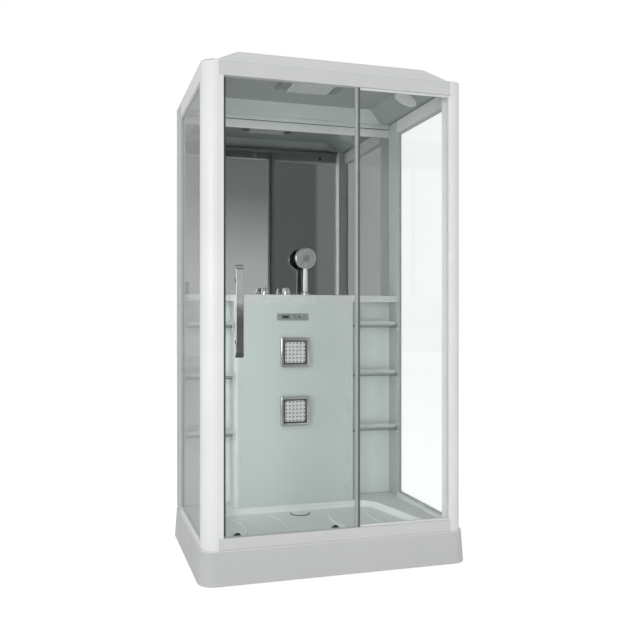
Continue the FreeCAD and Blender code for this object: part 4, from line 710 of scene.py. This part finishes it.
def spray_head():
    """Rings of slim nozzles, a polished rim and a centre button on the hand shower's face."""
    low, high, middle = extent("spray_face")
    radius = (high.x - low.x) / 2
    front = Vector((middle.x, low.y, middle.z))
    rib_half, proud, button_share, rim_width = 2.3, 1, 0.42, 5
    rings = []
    for share, count, length in ((0.55, 12, 8), (0.82, 18, 13)):
        height = share * radius
        ring = block(front + Vector((-rib_half, -proud, height - length / 2)),
                     front + Vector((rib_half, 0.6, height + length / 2)))
        soften(0.5, 1)
        all_round(count, front, BACKWARD)
        rings.append(ring)
    fit(rings, "spray_nozzles", NOZZLE, "hand_shower")
    button = rod(front + Vector((0, 1, 0)), FORWARD, button_share * radius, 2, 48)
    stepped(button, FORWARD, (1.6, 0.7), (2, 0), (0.6, -1.2), (6, 0.5))
    fit(button, "spray_button", BUTTON, "hand_shower")
    rim = hoop(front + Vector((0, 1.4, 0)), FORWARD, radius + rim_width, 1.8, rim_width + 0.5, 64)
    soften(0.5)
    fit(rim, "spray_rim", CHROME, "hand_shower")


def shower_grip():
    """The pale front shell of the hand shower's grip, and the ring above its holder."""
    middle = extent("hand_shower").middle
    holder_top = extent("hand_shower_holder").high.z
    axis = extent("hand_shower_holder").middle.y
    start, end = holder_top + 9, middle.z + 49
    shell_radius, shell_back, taper_share = 12.9, 5.5, 0.86
    ring_radius, ring_height, ring_lift = 14.4, 5, 1.5
    shell = rod((middle.x, axis, start), UP, shell_radius, end - start, 48)
    cut_off((middle.x, axis - shell_back, start), BACKWARD)
    pick_facing(shell, UP)
    resize((taper_share, taper_share, 1), (middle.x, axis, end))
    soften(1)
    fit(shell, "shower_grip_shell", PLATE, "hand_shower")
    ring = rod((middle.x, axis, holder_top + ring_lift), UP, ring_radius, ring_height, 48)
    soften(1.2)
    fit(ring, "shower_grip_ring", CHROME, "hand_shower")


def knob_grips(name):
    """Upright ribs round a tap knob, and a raised pointer on its top."""
    low, high, middle = extent(name)
    radius, height = (high.x - low.x) / 2, high.z - low.z
    rib_radius, rib_share, ribs = 2, 0.44, 16
    rib = rod((middle.x + radius - 1, middle.y, low.z + 2.5), UP, rib_radius, rib_share * height, 8)
    soften(0.6)
    all_round(ribs, middle, UP)
    fit(rib, f"{name}_grips", CHROME, name)
    half, end_share = 1, 0.35
    pointer = block((middle.x - half, low.y + end_share * radius, high.z - 0.4),
                    (middle.x + half, middle.y, high.z + 0.8))
    soften(0.5)
    fit(pointer, f"{name}_pointer", CHROME, name)


# Control panel

KEYS = ("power", "light", "fan")


def panel_details():
    """The display's dark screen, and a fine ring round each key."""
    low, high, middle = extent("control_display")
    half_share, margin, proud = 0.3, 4.6, 0.35
    half = half_share * (high.x - low.x)
    screen = block((middle.x - half, low.y - proud, low.z + margin),
                   (middle.x + half, low.y + 0.6, high.z - margin))
    soften(0.3)
    fit(screen, "display_screen", LCD)
    front = extent("control_panel").low.y
    ring_gap, ring_wall, ring_depth = 0.6, 1.1, 0.8
    rings = []
    for key in KEYS:
        low, high, middle = extent(f"key_{key}")
        radius = (high.x - low.x) / 2 + ring_gap + ring_wall
        rings.append(hoop((middle.x, front + 0.3, middle.z), FORWARD, radius, ring_depth, ring_wall))
        soften(0.2)
    fit(rings, "key_rings", SATIN)


def key_marks():
    """A plain raised sign on each key: a ring and bar, a dot with rays, and three blades."""
    sunk, thick = 0.2, 0.45

    def bar(centre, left, right, bottom, top):
        return block(centre + Vector((left, -0.3, bottom)), centre + Vector((right, sunk, top)))

    for key in KEYS:
        low, middle = extent(f"key_{key}").low, extent(f"key_{key}").middle
        centre = Vector((middle.x, low.y, middle.z))
        back = centre + Vector((0, sunk, 0))
        if key == "power":
            shapes = [hoop(back, FORWARD, 2.6, thick, 0.6, 24), bar(centre, -0.3, 0.3, 0.6, 3.4)]
        elif key == "light":
            shapes = [rod(back, FORWARD, 1.4, thick, 20), bar(centre, -0.25, 0.25, 2.1, 3.3)]
            all_round(8, centre, BACKWARD)
        else:
            shapes = [bar(centre, -0.2, 1.4, 0.6, 3.2)]
            all_round(3, centre, BACKWARD)
        fit(shapes, f"key_{key}_mark", DARK_RUBBER_AND_SHADE, f"{key}_key")


# Roof

SIDE_RAIL_WIDTH = 28


def rain_nozzles():
    """A field of fine nozzles under the rain plate, and a raised frame round it."""
    low, high, middle = extent("rain_shower_plate")
    columns, rows, nozzle_radius = 16, 14, 2.2
    pitch = (high.x - low.x) / (columns + 1)
    first = (middle.x - (columns - 1) / 2 * pitch, middle.y - (rows - 1) / 2 * pitch, low.z + 0.5)
    nozzle = rod(first, DOWN, nozzle_radius, 2, 8)
    stepped(nozzle, DOWN, (0.6, 0.6), (0.7, 0), (0.1, -0.9))
    in_a_row(columns, (pitch, 0, 0))
    in_a_row(rows, (0, pitch, 0))
    fit(nozzle, "rain_nozzles", RAIN_DOT)
    margin, height, wall = 3, 3, 2.4
    rim = block((low.x - margin, low.y - margin, high.z - height), (high.x + margin, high.y + margin, high.z))
    open_through(rim, UP, wall)
    soften(0.6)
    fit(rim, "rain_plate_rim", LOUVRE)


def lamp_louvres():
    """Slanted slats in front of each lamp beside the rain plate, in a thin frame."""
    low, high = extent("lamp_lenses")[:2]
    lamp_width, count, end_gap = 33.4, 15, 12
    slant, frame_side, frame_end, frame_wall = 3.4, 7, 5, 4.4
    shapes = []
    for left in (low.x, high.x - lamp_width):
        right = left + lamp_width
        blade = block((left - 3, low.y + 2, low.z - 3.6), (right + 3, low.y + 4.6, low.z - 0.2))
        pick_facing(blade, DOWN)
        move((0, slant, 0))
        soften(0.4, 1)
        in_a_row(count, (0, (high.y - low.y - end_gap) / (count - 1), 0))
        surround = block((left - frame_side, low.y - frame_end, low.z - 4.2),
                         (right + frame_side, high.y + frame_end, low.z + 0.2))
        open_through(surround, UP, frame_wall)
        soften(0.6)
        shapes += [blade, surround]
    fit(shapes, "lamp_louvres", LOUVRE)


def fan_axis():
    """The fan's place and its direction out of the roof."""
    spin = named(frame["joints"], "fan_spin")
    return place_of(spin), Vector(spin["axis"]).normalized()


def fan_cover_details():
    """The fan cover's raised rim, the fine slats across its slots and its centre boss."""
    place, outward = fan_axis()
    roof_wall, cover, radius, rim_wall, boss_radius = 4, 6, 58, 6, 13
    face = place - outward * (roof_wall + cover)
    rim = hoop(face + outward, -outward, radius, 3.6, rim_wall, 64)
    soften(1)
    fit(rim, "fan_rim", FAN_COVER)
    downhill = outward.cross(Vector(BACKWARD)).normalized()
    inside, count, slat_width, slat_height = radius - 5, 19, 1.8, 3.4
    slats = []
    for index in range(count):
        across = (index - (count - 1) / 2) * 2 * inside / count
        half = math.sqrt(inside ** 2 - across ** 2)
        start = face - outward * 0.2 + Vector((0, across, 0)) - downhill * half
        slats.append(slat(start, downhill, 2 * half, slat_width, slat_height))
        soften(0.5, 1)
    fit(slats, "fan_slats", FAN_COVER)
    boss = rod(face + outward, -outward, boss_radius, 3, 40)
    stepped(boss, -outward, (2, 1.2), (3, 0.4), (1, -0.8))
    fit(boss, "fan_boss", FAN_COVER)


def roof_shadow_gap_bead():
    """A dark bead, painted shade for the shadow gap where the roof's flange sits on the inside of the frame."""
    rail = extent("rails_side_top").high
    side, wall, drop, height = rail.x - SIDE_RAIL_WIDTH, 1.6, 0.3, 2.3
    # Painted shade: this dark bead stands in for the shadow gap under the roof's flange.
    bead = block((-side, extent("rail_front_top").high.y, rail.z - drop - height),
                 (side, extent("back_frame").low.y, rail.z - drop))
    open_through(bead, UP, wall)
    soften(0.5)
    fit(bead, "roof_shadow_gap_bead", DARK_RUBBER_AND_SHADE)


def roof_cover():
    """The outer shell over the ceiling's dome, and a collar where the fan's can comes through it."""
    low, high = extent("roof_canopy")[:2]
    flange, rise, wall, rounding = 4, 15, 3, 18
    foot_side, foot_front, foot_back = 38, 20, 36
    top_side, top_front, top_back = 158, 77, 130
    base, top = low.z + flange, high.z + rise
    foot_low = Vector((low.x + foot_side, low.y + foot_front, base))
    foot_high = Vector((high.x - foot_side, high.y - foot_back, top))
    top_low = Vector((low.x + top_side, low.y + top_front, top))
    top_high = Vector((high.x - top_side, high.y - top_back, top))
    foot, flat = foot_high - foot_low, top_high - top_low
    centre = (foot_low + foot_high) / 2
    shift = (top_low + top_high) / 2 - centre
    shell = block(foot_low, foot_high)
    pick_facing(shell, UP)
    resize((flat.x / foot.x, flat.y / foot.y, 1), centre)
    move((shift.x, shift.y, 0))
    pick_facing(shell, DOWN)
    bpy.ops.mesh.delete(type="FACE")
    soften(rounding, 5, 20)
    thicken(wall)
    fit(shell, "roof_cover", ROOF_PAINTED_LIGHT_AND_SHADE, angle=50)
    place, outward = fan_axis()
    lift, collar_radius, collar_height, collar_wall = 6, 55, 10, 8
    collar = hoop(place + outward * lift, outward, collar_radius, collar_height, collar_wall, 64)
    soften(2.5, 3)
    fit(collar, "fan_collar", DARK_RUBBER_AND_SHADE)


def rain_inlet_barbs():
    """Ridges on the rain shower's inlet above the roof."""
    high, middle = extent("rain_shower_panel")[1:]
    radius, length, pitch = 10, 8, 2.6
    barbs = thread((middle.x, middle.y, high.z - length - 0.5), UP, radius, length, pitch, 32)
    fit(barbs, "rain_inlet_barbs", RAIN_PANEL)


# Door

def roller_details():
    """A steel bearing ring on both faces of each wheel, and black guards before the lower wheels."""
    ring_radius, ring_wall, guard_radius, guard_depth, guard_shift = 9.2, 2.6, 15, 4, 5
    for joint in frame["joints"]:
        if not joint["name"].endswith("roller_turn"):
            continue
        place = place_of(joint)
        level, side = joint["child"].split("_")[:2]
        low, high = extent(f"roller_{level}_{side}")[:2]
        rings = []
        for face, outward in ((low.y, -1), (high.y, 1)):
            start = (place.x, face - outward * 0.5, place.z)
            rings.append(hoop(start, (0, outward, 0), ring_radius, 0.7, ring_wall, 40))
        fit(rings, f"bearing_{level}_{side}", SATIN, joint["child"])
        if level == "bottom":
            front = (place.x + guard_shift, low.y - 0.6, place.z)
            guard = rod(front, FORWARD, guard_radius, guard_depth, 48)
            cut_off((place.x, low.y, place.z - 4), DOWN)
            soften(0.8)
            fit(guard, f"roller_guard_{side}", BLACK, "door")


def handle_washers():
    """Black washers between the handle's standoffs and the glass."""
    glass = extent("door_glass").low.y
    middle = extent("door_handle").middle
    half_spacing, radius, thickness = 128, 14, 6
    washers = []
    for end in (-1, 1):
        place = (middle.x, glass - 0.1, middle.z + end * half_spacing)
        washer = rod(place, FORWARD, radius, thickness, 40)
        stepped(washer, FORWARD, (2, 1.5))
        soften(0.6)
        washers.append(washer)
    fit(washers, "handle_washers", BLACK, "door")


def door_stops():
    """Rubber stops at both ends of the upper track."""
    low, high, middle = extent("roller_top_left")
    travel = named(frame["joints"], "door_slide")["range_m"][1] / MM
    length, gap = 12, 3
    right_end = extent("roller_top_right").high.x + travel
    stops = []
    for near in (low.x - gap - length, right_end + gap):
        stops.append(block((near, low.y + 1, middle.z - 6), (near + length, high.y - 1, high.z - 1)))
        soften(2, 3)
    fit(stops, "door_stops", DARK_RUBBER_AND_SHADE)


def seal_lip():
    """The grey wiping lip on the fixed pane's upright seal."""
    low, high = extent("fixed_panel_seal")[:2]
    width, front, back = 8, 2, 1.2
    lip = block((high.x - width, low.y - front, low.z), (high.x + 0.5, high.y + back, high.z))
    pick_ends(lip, BACKWARD)
    step_faces((1, 0.6))
    soften(0.3)
    fit(lip, "fixed_seal_lip", PANE_LIP)


# Shelves, console and mirror

SHELF_TOPS = (505, 793, 1050)


def shelf_details():
    """A polished bar and end plate on each shelf rail, and the dark polished edge of the glass."""
    high = extent("shelf_rails").high
    glass_front = extent("glass_shelves").low.y
    outer, inner = high.x, extent("console_shell").high.x
    bar_radius, bar_gap, plate_radius, plate_depth, edge_depth = 3.6, 6, 19, 4, 5.6
    bars, edges = [], []
    for top in SHELF_TOPS:
        for side in (-1, 1):
            start, length = (side * (inner + bar_gap), high.y - 6, top + 6), outer - inner - 2 * bar_gap
            bar = rod(start, (side, 0, 0), bar_radius, length, 20)
            pick_ends(bar, RIGHT)
            step_faces((1, 0.6))
            start, inward = (side * (outer - 1), high.y - 10, top + 4), (-side, 0, 0)
            plate = rod(start, inward, plate_radius, plate_depth, 40)
            stepped(plate, inward, (3, 1.5))
            soften(0.8)
            bars += [bar, plate]
            near, far = sorted((side * (inner + 1), side * (outer - 1)))
            edges.append(block((near, glass_front - 1, top - edge_depth),
                               (far, glass_front + 1, top + 0.4)))
            soften(0.8)
    fit(bars, "shelf_rail_bars", CHROME)
    fit(edges, "shelf_glass_edges", GLASS_EDGE)


def console_corner():
    """A grey strip down the console's right front corner, painted shade for the console's shaded side, with a dark
    cap at each shelf rail.
    """
    side = extent("console_shell").high.x
    front = extent("console_glass").low.y
    foot, head = extent("shower_tray").high.z + 4, extent("deck_shelf").low.z
    width, depth, cap_radius = 15, 6, 7
    # Painted shade: a grey strip stands in for the console's shaded side.
    strip = block((side - width, front - 1.5, foot), (side + 0.6, front + depth, head))
    stepped(strip, FORWARD, (2, 0.8))
    soften(0.5)
    fit(strip, "console_corner_painted_shade", CORNER_SHADE)
    caps = []
    for top in SHELF_TOPS:
        cap = rod((side - cap_radius, front - 2, top + 2), FORWARD, cap_radius, 2, 32)
        stepped(cap, FORWARD, (1.5, 1))
        caps.append(cap)
    fit(caps, "shelf_rail_caps", LIP)


def console_ribs():
    """Stiffening ribs behind the console's front wall."""
    low, high = extent("console_shell")[:2]
    wall, depth, half = low.y + 9, 8, 1.5
    uprights, levels = (-230, -120, 100), (300, 460, 770, 1045)
    ribs = []
    for x in uprights:
        ribs.append(block((x - half, wall, low.z + 8), (x + half, wall + depth, high.z - 60)))
        soften(0.8)
    for z in levels:
        ribs.append(block((low.x + 6, wall, z - half), (high.x - 6, wall + depth, z + half)))
        soften(0.8)
    fit(ribs, "console_ribs", CONSOLE_SHELL)


def mirror_trim():
    """The pale profile over the mirror's top edge, its dark bead, and the cove up to the ceiling."""
    low, high = extent("mirror_panel")[:2]
    ceiling = extent("back_frame").high.z
    profile_height, bead_height, overlap = 41, 5, 2.5

    def strip(bottom, top, proud):
        return block((low.x + 1, low.y - proud, bottom), (high.x - 1, low.y + 0.5, top))

    profile = strip(high.z + overlap - profile_height, high.z + overlap, 8)
    stepped(profile, FORWARD, (3, 1.5))
    soften(1)
    fit(profile, "mirror_top_profile", POWDER)
    bead = strip(high.z + overlap - 1, high.z + overlap - 1 + bead_height, 7)
    soften(1)
    fit(bead, "mirror_top_bead", DARK_RUBBER_AND_SHADE)
    cove = strip(high.z + 6, ceiling - 0.3, 9)
    stepped(cove, FORWARD, (4, 2))
    soften(1.5)
    fit(cove, "ceiling_cove", ROOF_PAINTED_LIGHT_AND_SHADE)


# Tray and what is under it

def drain_details():
    """A ring and ribs on the drain's cover, and a dark ring under its edge, painted shade for the shadow under the
    cover.
    """
    low, high, middle = extent("drain_cover")
    radius = (high.x - low.x) / 2
    ring_wall, seal_wall, rib_start, rib_end, rib_half, ribs = 3.4, 3, 12, 9, 1.4, 8
    ring = hoop((middle.x, middle.y, high.z - 1), UP, radius - 0.5, 1.9, ring_wall, 64)
    soften(0.6)
    fit(ring, "drain_ring", TRAY_PAINTED_LIGHT, "drain_cover")
    rib = block((middle.x + rib_start, middle.y - rib_half, high.z - 0.4),
                (middle.x + radius - rib_end, middle.y + rib_half, high.z + 0.9))
    soften(0.6)
    all_round(ribs, middle, UP)
    fit(rib, "drain_ribs", TRAY_PAINTED_LIGHT, "drain_cover")
    # Painted shade: this dark ring stands in for the shadow under the cover's edge.
    seal = hoop((middle.x, middle.y, low.z - 1.4), UP, radius + 3.6, 4.6, seal_wall, 64)
    soften(0.4)
    fit(seal, "drain_shadow_ring", DARK_RUBBER_AND_SHADE)


def tray_beads():
    """The white sealing beads where the frame and the console stand on the tray's rim."""
    rim = extent("shower_tray").high.z
    console_side = extent("console_shell").high.x + 3
    console_front = extent("console_shell").low.y
    frame_side = extent("rails_side_bottom").high.x - SIDE_RAIL_WIDTH
    sunk, wide, rounding = 0.5, 4, 1.6
    ring = block((-frame_side, extent("rail_front_bottom").high.y, rim - sunk),
                 (frame_side, extent("back_panels").low.y, rim + 3.5))
    open_through(ring, UP, wide)
    soften(rounding, 3)
    foot = block((-console_side, console_front - 3.5, rim - sunk),
                 (console_side, console_front + 1, rim + 3))
    soften(rounding, 3)
    fit([ring, foot], "tray_beads", BEAD)


def foot_threads():
    """The threads of the six levelling feet, and a rubber pad edge on each."""
    low, high, middle = extent("levelling_feet")
    pad_radius, pad_height, pad_wall = 26, 6, 3
    rod_radius, rod_start, rod_length, pitch = 6, 11, 60, 3
    threads, pads = [], []
    for x in (low.x + pad_radius, high.x - pad_radius):
        for y in (low.y + pad_radius, middle.y, high.y - pad_radius):
            threads.append(thread((x, y, rod_start), UP, rod_radius, rod_length, pitch, 16))
            pads.append(hoop((x, y, 0.4), UP, pad_radius + 1, pad_height, pad_wall, 40))
            soften(1)
    fit(threads, "foot_threads", ZINC)
    fit(pads, "foot_pads", DARK_RUBBER_AND_SHADE)


def trap_union():
    """Grip ribs round the trap's outlet nut."""
    outlet = place_of(named(frame["record"]["mounts"], "waste_outlet"))
    nut_radius, nut_middle, half_length, half_width, ribs = 27, 250, 10, 1.6, 20
    rib = block((outlet.x - half_width, nut_middle - half_length, outlet.z + nut_radius - 1),
                (outlet.x + half_width, nut_middle + half_length, outlet.z + nut_radius + 1.4))
    soften(0.8)
    all_round(ribs, (outlet.x, nut_middle, outlet.z), BACKWARD)
    fit(rib, "trap_union_ribs", TRAP)


# Behind the console

def inlet_threads():
    """Threads on the two valves' inlets."""
    radius, length, pitch = 10.4, 16, 1.8
    start = extent("valve_bodies").high.y - length - 1
    threads = []
    for name in ("hot_inlet", "cold_inlet"):
        inlet = place_of(named(frame["record"]["mounts"], name))
        threads.append(thread((inlet.x, start, inlet.z), BACKWARD, radius, length, pitch, 32))
    fit(threads, "inlet_threads", NICKEL)


def control_box_details():
    """The control box's lid with its four screws, and the ribbed nut of its cable gland."""
    low, high, middle = extent("control_box")
    case_low, lid_inset, screw_inset, screw_radius, screw_height = low.z + 18, 5, 16, 4, 2.2
    nut_radius, rib_rise, rib_half, ribs = 9.4, 1.8, 1.2, 14
    lid = block((low.x + lid_inset, high.y - 0.5, case_low + lid_inset),
                (high.x - lid_inset, high.y + 2.5, high.z - lid_inset))
    stepped(lid, BACKWARD, (3, 0), (0.8, 1))
    soften(0.6)
    fit(lid, "control_box_lid", BOX_PLASTIC)
    screws = []
    for x in (low.x + screw_inset, high.x - screw_inset):
        for z in (case_low + screw_inset, high.z - screw_inset):
            screws.append(screw_head((x, high.y + 3, z), BACKWARD, screw_radius, screw_height))
    fit(screws, "control_box_screws", SATIN)
    rib = block((middle.x + nut_radius, middle.y - rib_half, low.z + 3),
                (middle.x + nut_radius + rib_rise, middle.y + rib_half, low.z + 15))
    soften(0.6)
    all_round(ribs, middle, UP)
    fit(rib, "gland_ribs", BOX_PLASTIC)


def frame_screws():
    """Screws that hold the back frame to the back posts and the panels to its uprights."""
    back = extent("post_back_right").high.y - 0.2
    low, high = extent("back_frame")[:2]
    inset, upright, screw_radius, screw_height = 12, 240, 5.5, 2.6
    rows, first_share, step_share = 5, 0.04, 0.24
    height = high.z - low.z
    screws = []
    for x in (low.x - inset, low.x + upright, high.x - upright, high.x + inset):
        foot = (x, back, low.z + first_share * height)
        screws.append(screw_head(foot, BACKWARD, screw_radius, screw_height))
        in_a_row(rows, (0, 0, step_share * height))
    fit(screws, "back_frame_screws", SATIN)


for level in ("upper", "lower"):
    jet_nozzles(level)
    jet_trims(level)
for name in ("mixer_knob", "diverter_knob"):
    knob_grips(name)
for make in (spray_head, shower_grip, panel_details, key_marks, rain_nozzles, lamp_louvres, fan_cover_details,
             roof_shadow_gap_bead, roof_cover, rain_inlet_barbs, roller_details, handle_washers, door_stops, seal_lip,
             shelf_details, console_corner, mirror_trim, drain_details, tray_beads, foot_threads, trap_union,
             inlet_threads, control_box_details, console_ribs, frame_screws):
    make()


# Studio

def seen_clearly(finish):
    """1 for what the camera sees straight or through glass, else 0, as in the mirror or as light."""
    path = node(finish, "ShaderNodeLightPath")
    bounces = reckon(finish, "ADD", path.outputs["Diffuse Depth"], path.outputs["Glossy Depth"])
    through = reckon(finish, "MULTIPLY", path.outputs["Is Transmission Ray"],
                     reckon(finish, "LESS_THAN", bounces, 0.5))
    return reckon(finish, "MAXIMUM", path.outputs["Is Camera Ray"], through)


def studio_floor():
    """A pale floor that looks white, with the cabin's shadow on it."""
    bpy.ops.mesh.primitive_plane_add(size=40, location=(0, 0, 0))
    floor = bpy.context.object
    floor.name = "studio_floor"
    finish = bpy.data.materials.new("studio_floor_white")
    finish.use_nodes = True
    pale = (0.86, 0.86, 0.86, 1)
    matt = preset(shader_of(finish), {"Base Color": pale, "Roughness": 0.9, "Specular IOR Level": 0})
    glow = preset(node(finish, "ShaderNodeEmission"), {"Color": WHITE})
    link(finish, reckon(finish, "MULTIPLY", seen_clearly(finish), 0.62), glow.inputs["Strength"])
    total = node(finish, "ShaderNodeAddShader")
    link(finish, matt.outputs["BSDF"], total.inputs[0])
    link(finish, glow.outputs["Emission"], total.inputs[1])
    show(finish, total.outputs["Shader"])
    floor.data.materials.append(finish)


def studio_world():
    """Even pale light, white where the camera sees it, straight or through the glass."""
    world = bpy.data.worlds.new("studio")
    bpy.context.scene.world = world
    world.use_nodes = True
    light = preset(world.node_tree.nodes["Background"], {"Color": WHITE, "Strength": 0.48})
    white = preset(node(world, "ShaderNodeBackground"), {"Color": WHITE, "Strength": 1})
    mix = node(world, "ShaderNodeMixShader")
    link(world, seen_clearly(world), mix.inputs["Fac"])
    link(world, light.outputs["Background"], mix.inputs[1])
    link(world, white.outputs["Background"], mix.inputs[2])
    link(world, mix.outputs["Shader"], world.node_tree.nodes["World Output"].inputs["Surface"])


def room_tones(finish, room_height):
    """Tones by height, darker and stepped to the right, and a white card on the left."""
    tones = node(finish, "ShaderNodeValToRGB")
    stops = ((0.0, 0.2), (0.243, 0.13), (0.25, 0.62), (0.36, 0.58), (0.56, 0.24), (0.8, 0.15), (1.0, 0.13))
    elements = tones.color_ramp.elements
    while len(elements) < len(stops):
        elements.new(0.5)
    for element, (position, level) in zip(elements, stops):
        element.position = position
        element.color = (level, level, level, 1)
    across, height = place_along(finish, "X"), place_along(finish, "Z")
    link(finish, reckon(finish, "DIVIDE", height, room_height), tones.inputs["Fac"])
    dark_from, paler_from, palest_from, card_end = 1.48, 2.12, 2.5, -1.6
    paler = ramp(finish, across, 0.14, 0.25, paler_from, paler_from + 0.06)
    palest = ramp(finish, across, 0.14, 0.5, palest_from, palest_from + 0.12)
    low_wall = ramp(finish, height, 0.42, 0.14, 1.2, 1.35)
    right = reckon(finish, "MAXIMUM", reckon(finish, "MAXIMUM", paler, palest), low_wall)
    on_right = ramp(finish, across, 0, 1, dark_from, dark_from + 0.02)
    on_card = ramp(finish, across, 1, 0, card_end - 0.6, card_end)
    card = (0.9, 0.9, 0.9, 1)
    return mixed(finish, on_card, mixed(finish, on_right, tones.outputs["Color"], right), card)


def reflected_room():
    """What the mirror and the chrome see in front of the cabin. The camera doesn't see it."""
    distance, width, height = 6.2, 14, 5
    bpy.ops.mesh.primitive_plane_add(size=1, location=(0, -distance, height / 2),
                                     rotation=(math.pi / 2, 0, 0))
    room = bpy.context.object
    room.name = "reflected_room"
    room.scale = (width, height, 1)
    bpy.ops.object.transform_apply(location=True, rotation=True, scale=True)
    finish = bpy.data.materials.new("reflected_room_tones")
    finish.use_nodes = True
    finish.node_tree.nodes.remove(shader_of(finish))
    glow = node(finish, "ShaderNodeEmission")
    link(finish, room_tones(finish, height), glow.inputs["Color"])
    show(finish, glow.outputs["Emission"])
    room.data.materials.append(finish)
    room.visible_camera = False
    room.visible_diffuse = False
    room.visible_shadow = False


def soft_light(name, place, aim, size, power, in_mirror=True):
    """A large square lamp that points from its place to where it aims."""
    data = bpy.data.lights.new(name, "AREA")
    data.shape = "SQUARE"
    data.size = size
    data.energy = power
    lamp = bpy.data.objects.new(name, data)
    lamp.location = place
    lamp.rotation_euler = (Vector(aim) - Vector(place)).to_track_quat("-Z", "Y").to_euler()
    lamp.visible_glossy = in_mirror
    lamp.visible_transmission = in_mirror
    bpy.context.scene.collection.objects.link(lamp)


def photograph_camera():
    data = bpy.data.cameras.new("photograph_view")
    data.sensor_width = 36
    data.lens = 44.63
    data.shift_y = -0.0024
    camera = bpy.data.objects.new("photograph_view", data)
    camera.location = (-1.0775, -3.640, 1.0912)
    camera.rotation_euler = (math.radians(90), 0, math.radians(-17.13))
    bpy.context.scene.collection.objects.link(camera)
    bpy.context.scene.camera = camera


bpy.ops.object.select_all(action="DESELECT")
studio_floor()
studio_world()
reflected_room()
soft_light("front_left_light", (-3.9, -3.3, 1.75), (-0.2, -0.2, 1.5), 1.8, 50)
soft_light("front_right_light", (3.2, -3.6, 1.3), (0, 0, 1.3), 2.4, 43, in_mirror=False)
soft_light("left_side_light", (-4.2, -0.3, 1.5), (-0.6, -0.4, 1.2), 1.2, 34, in_mirror=False)
soft_light("low_front_light", (-0.4, -3.0, 0.3), (0, 0.3, 2.3), 1.2, 16, in_mirror=False)
soft_light("high_front_light", (-0.6, -2.6, 4.4), (0, -0.3, 2.2), 1.5, 14, in_mirror=False)
photograph_camera()
bpy.context.scene.view_settings.view_transform = "Standard"
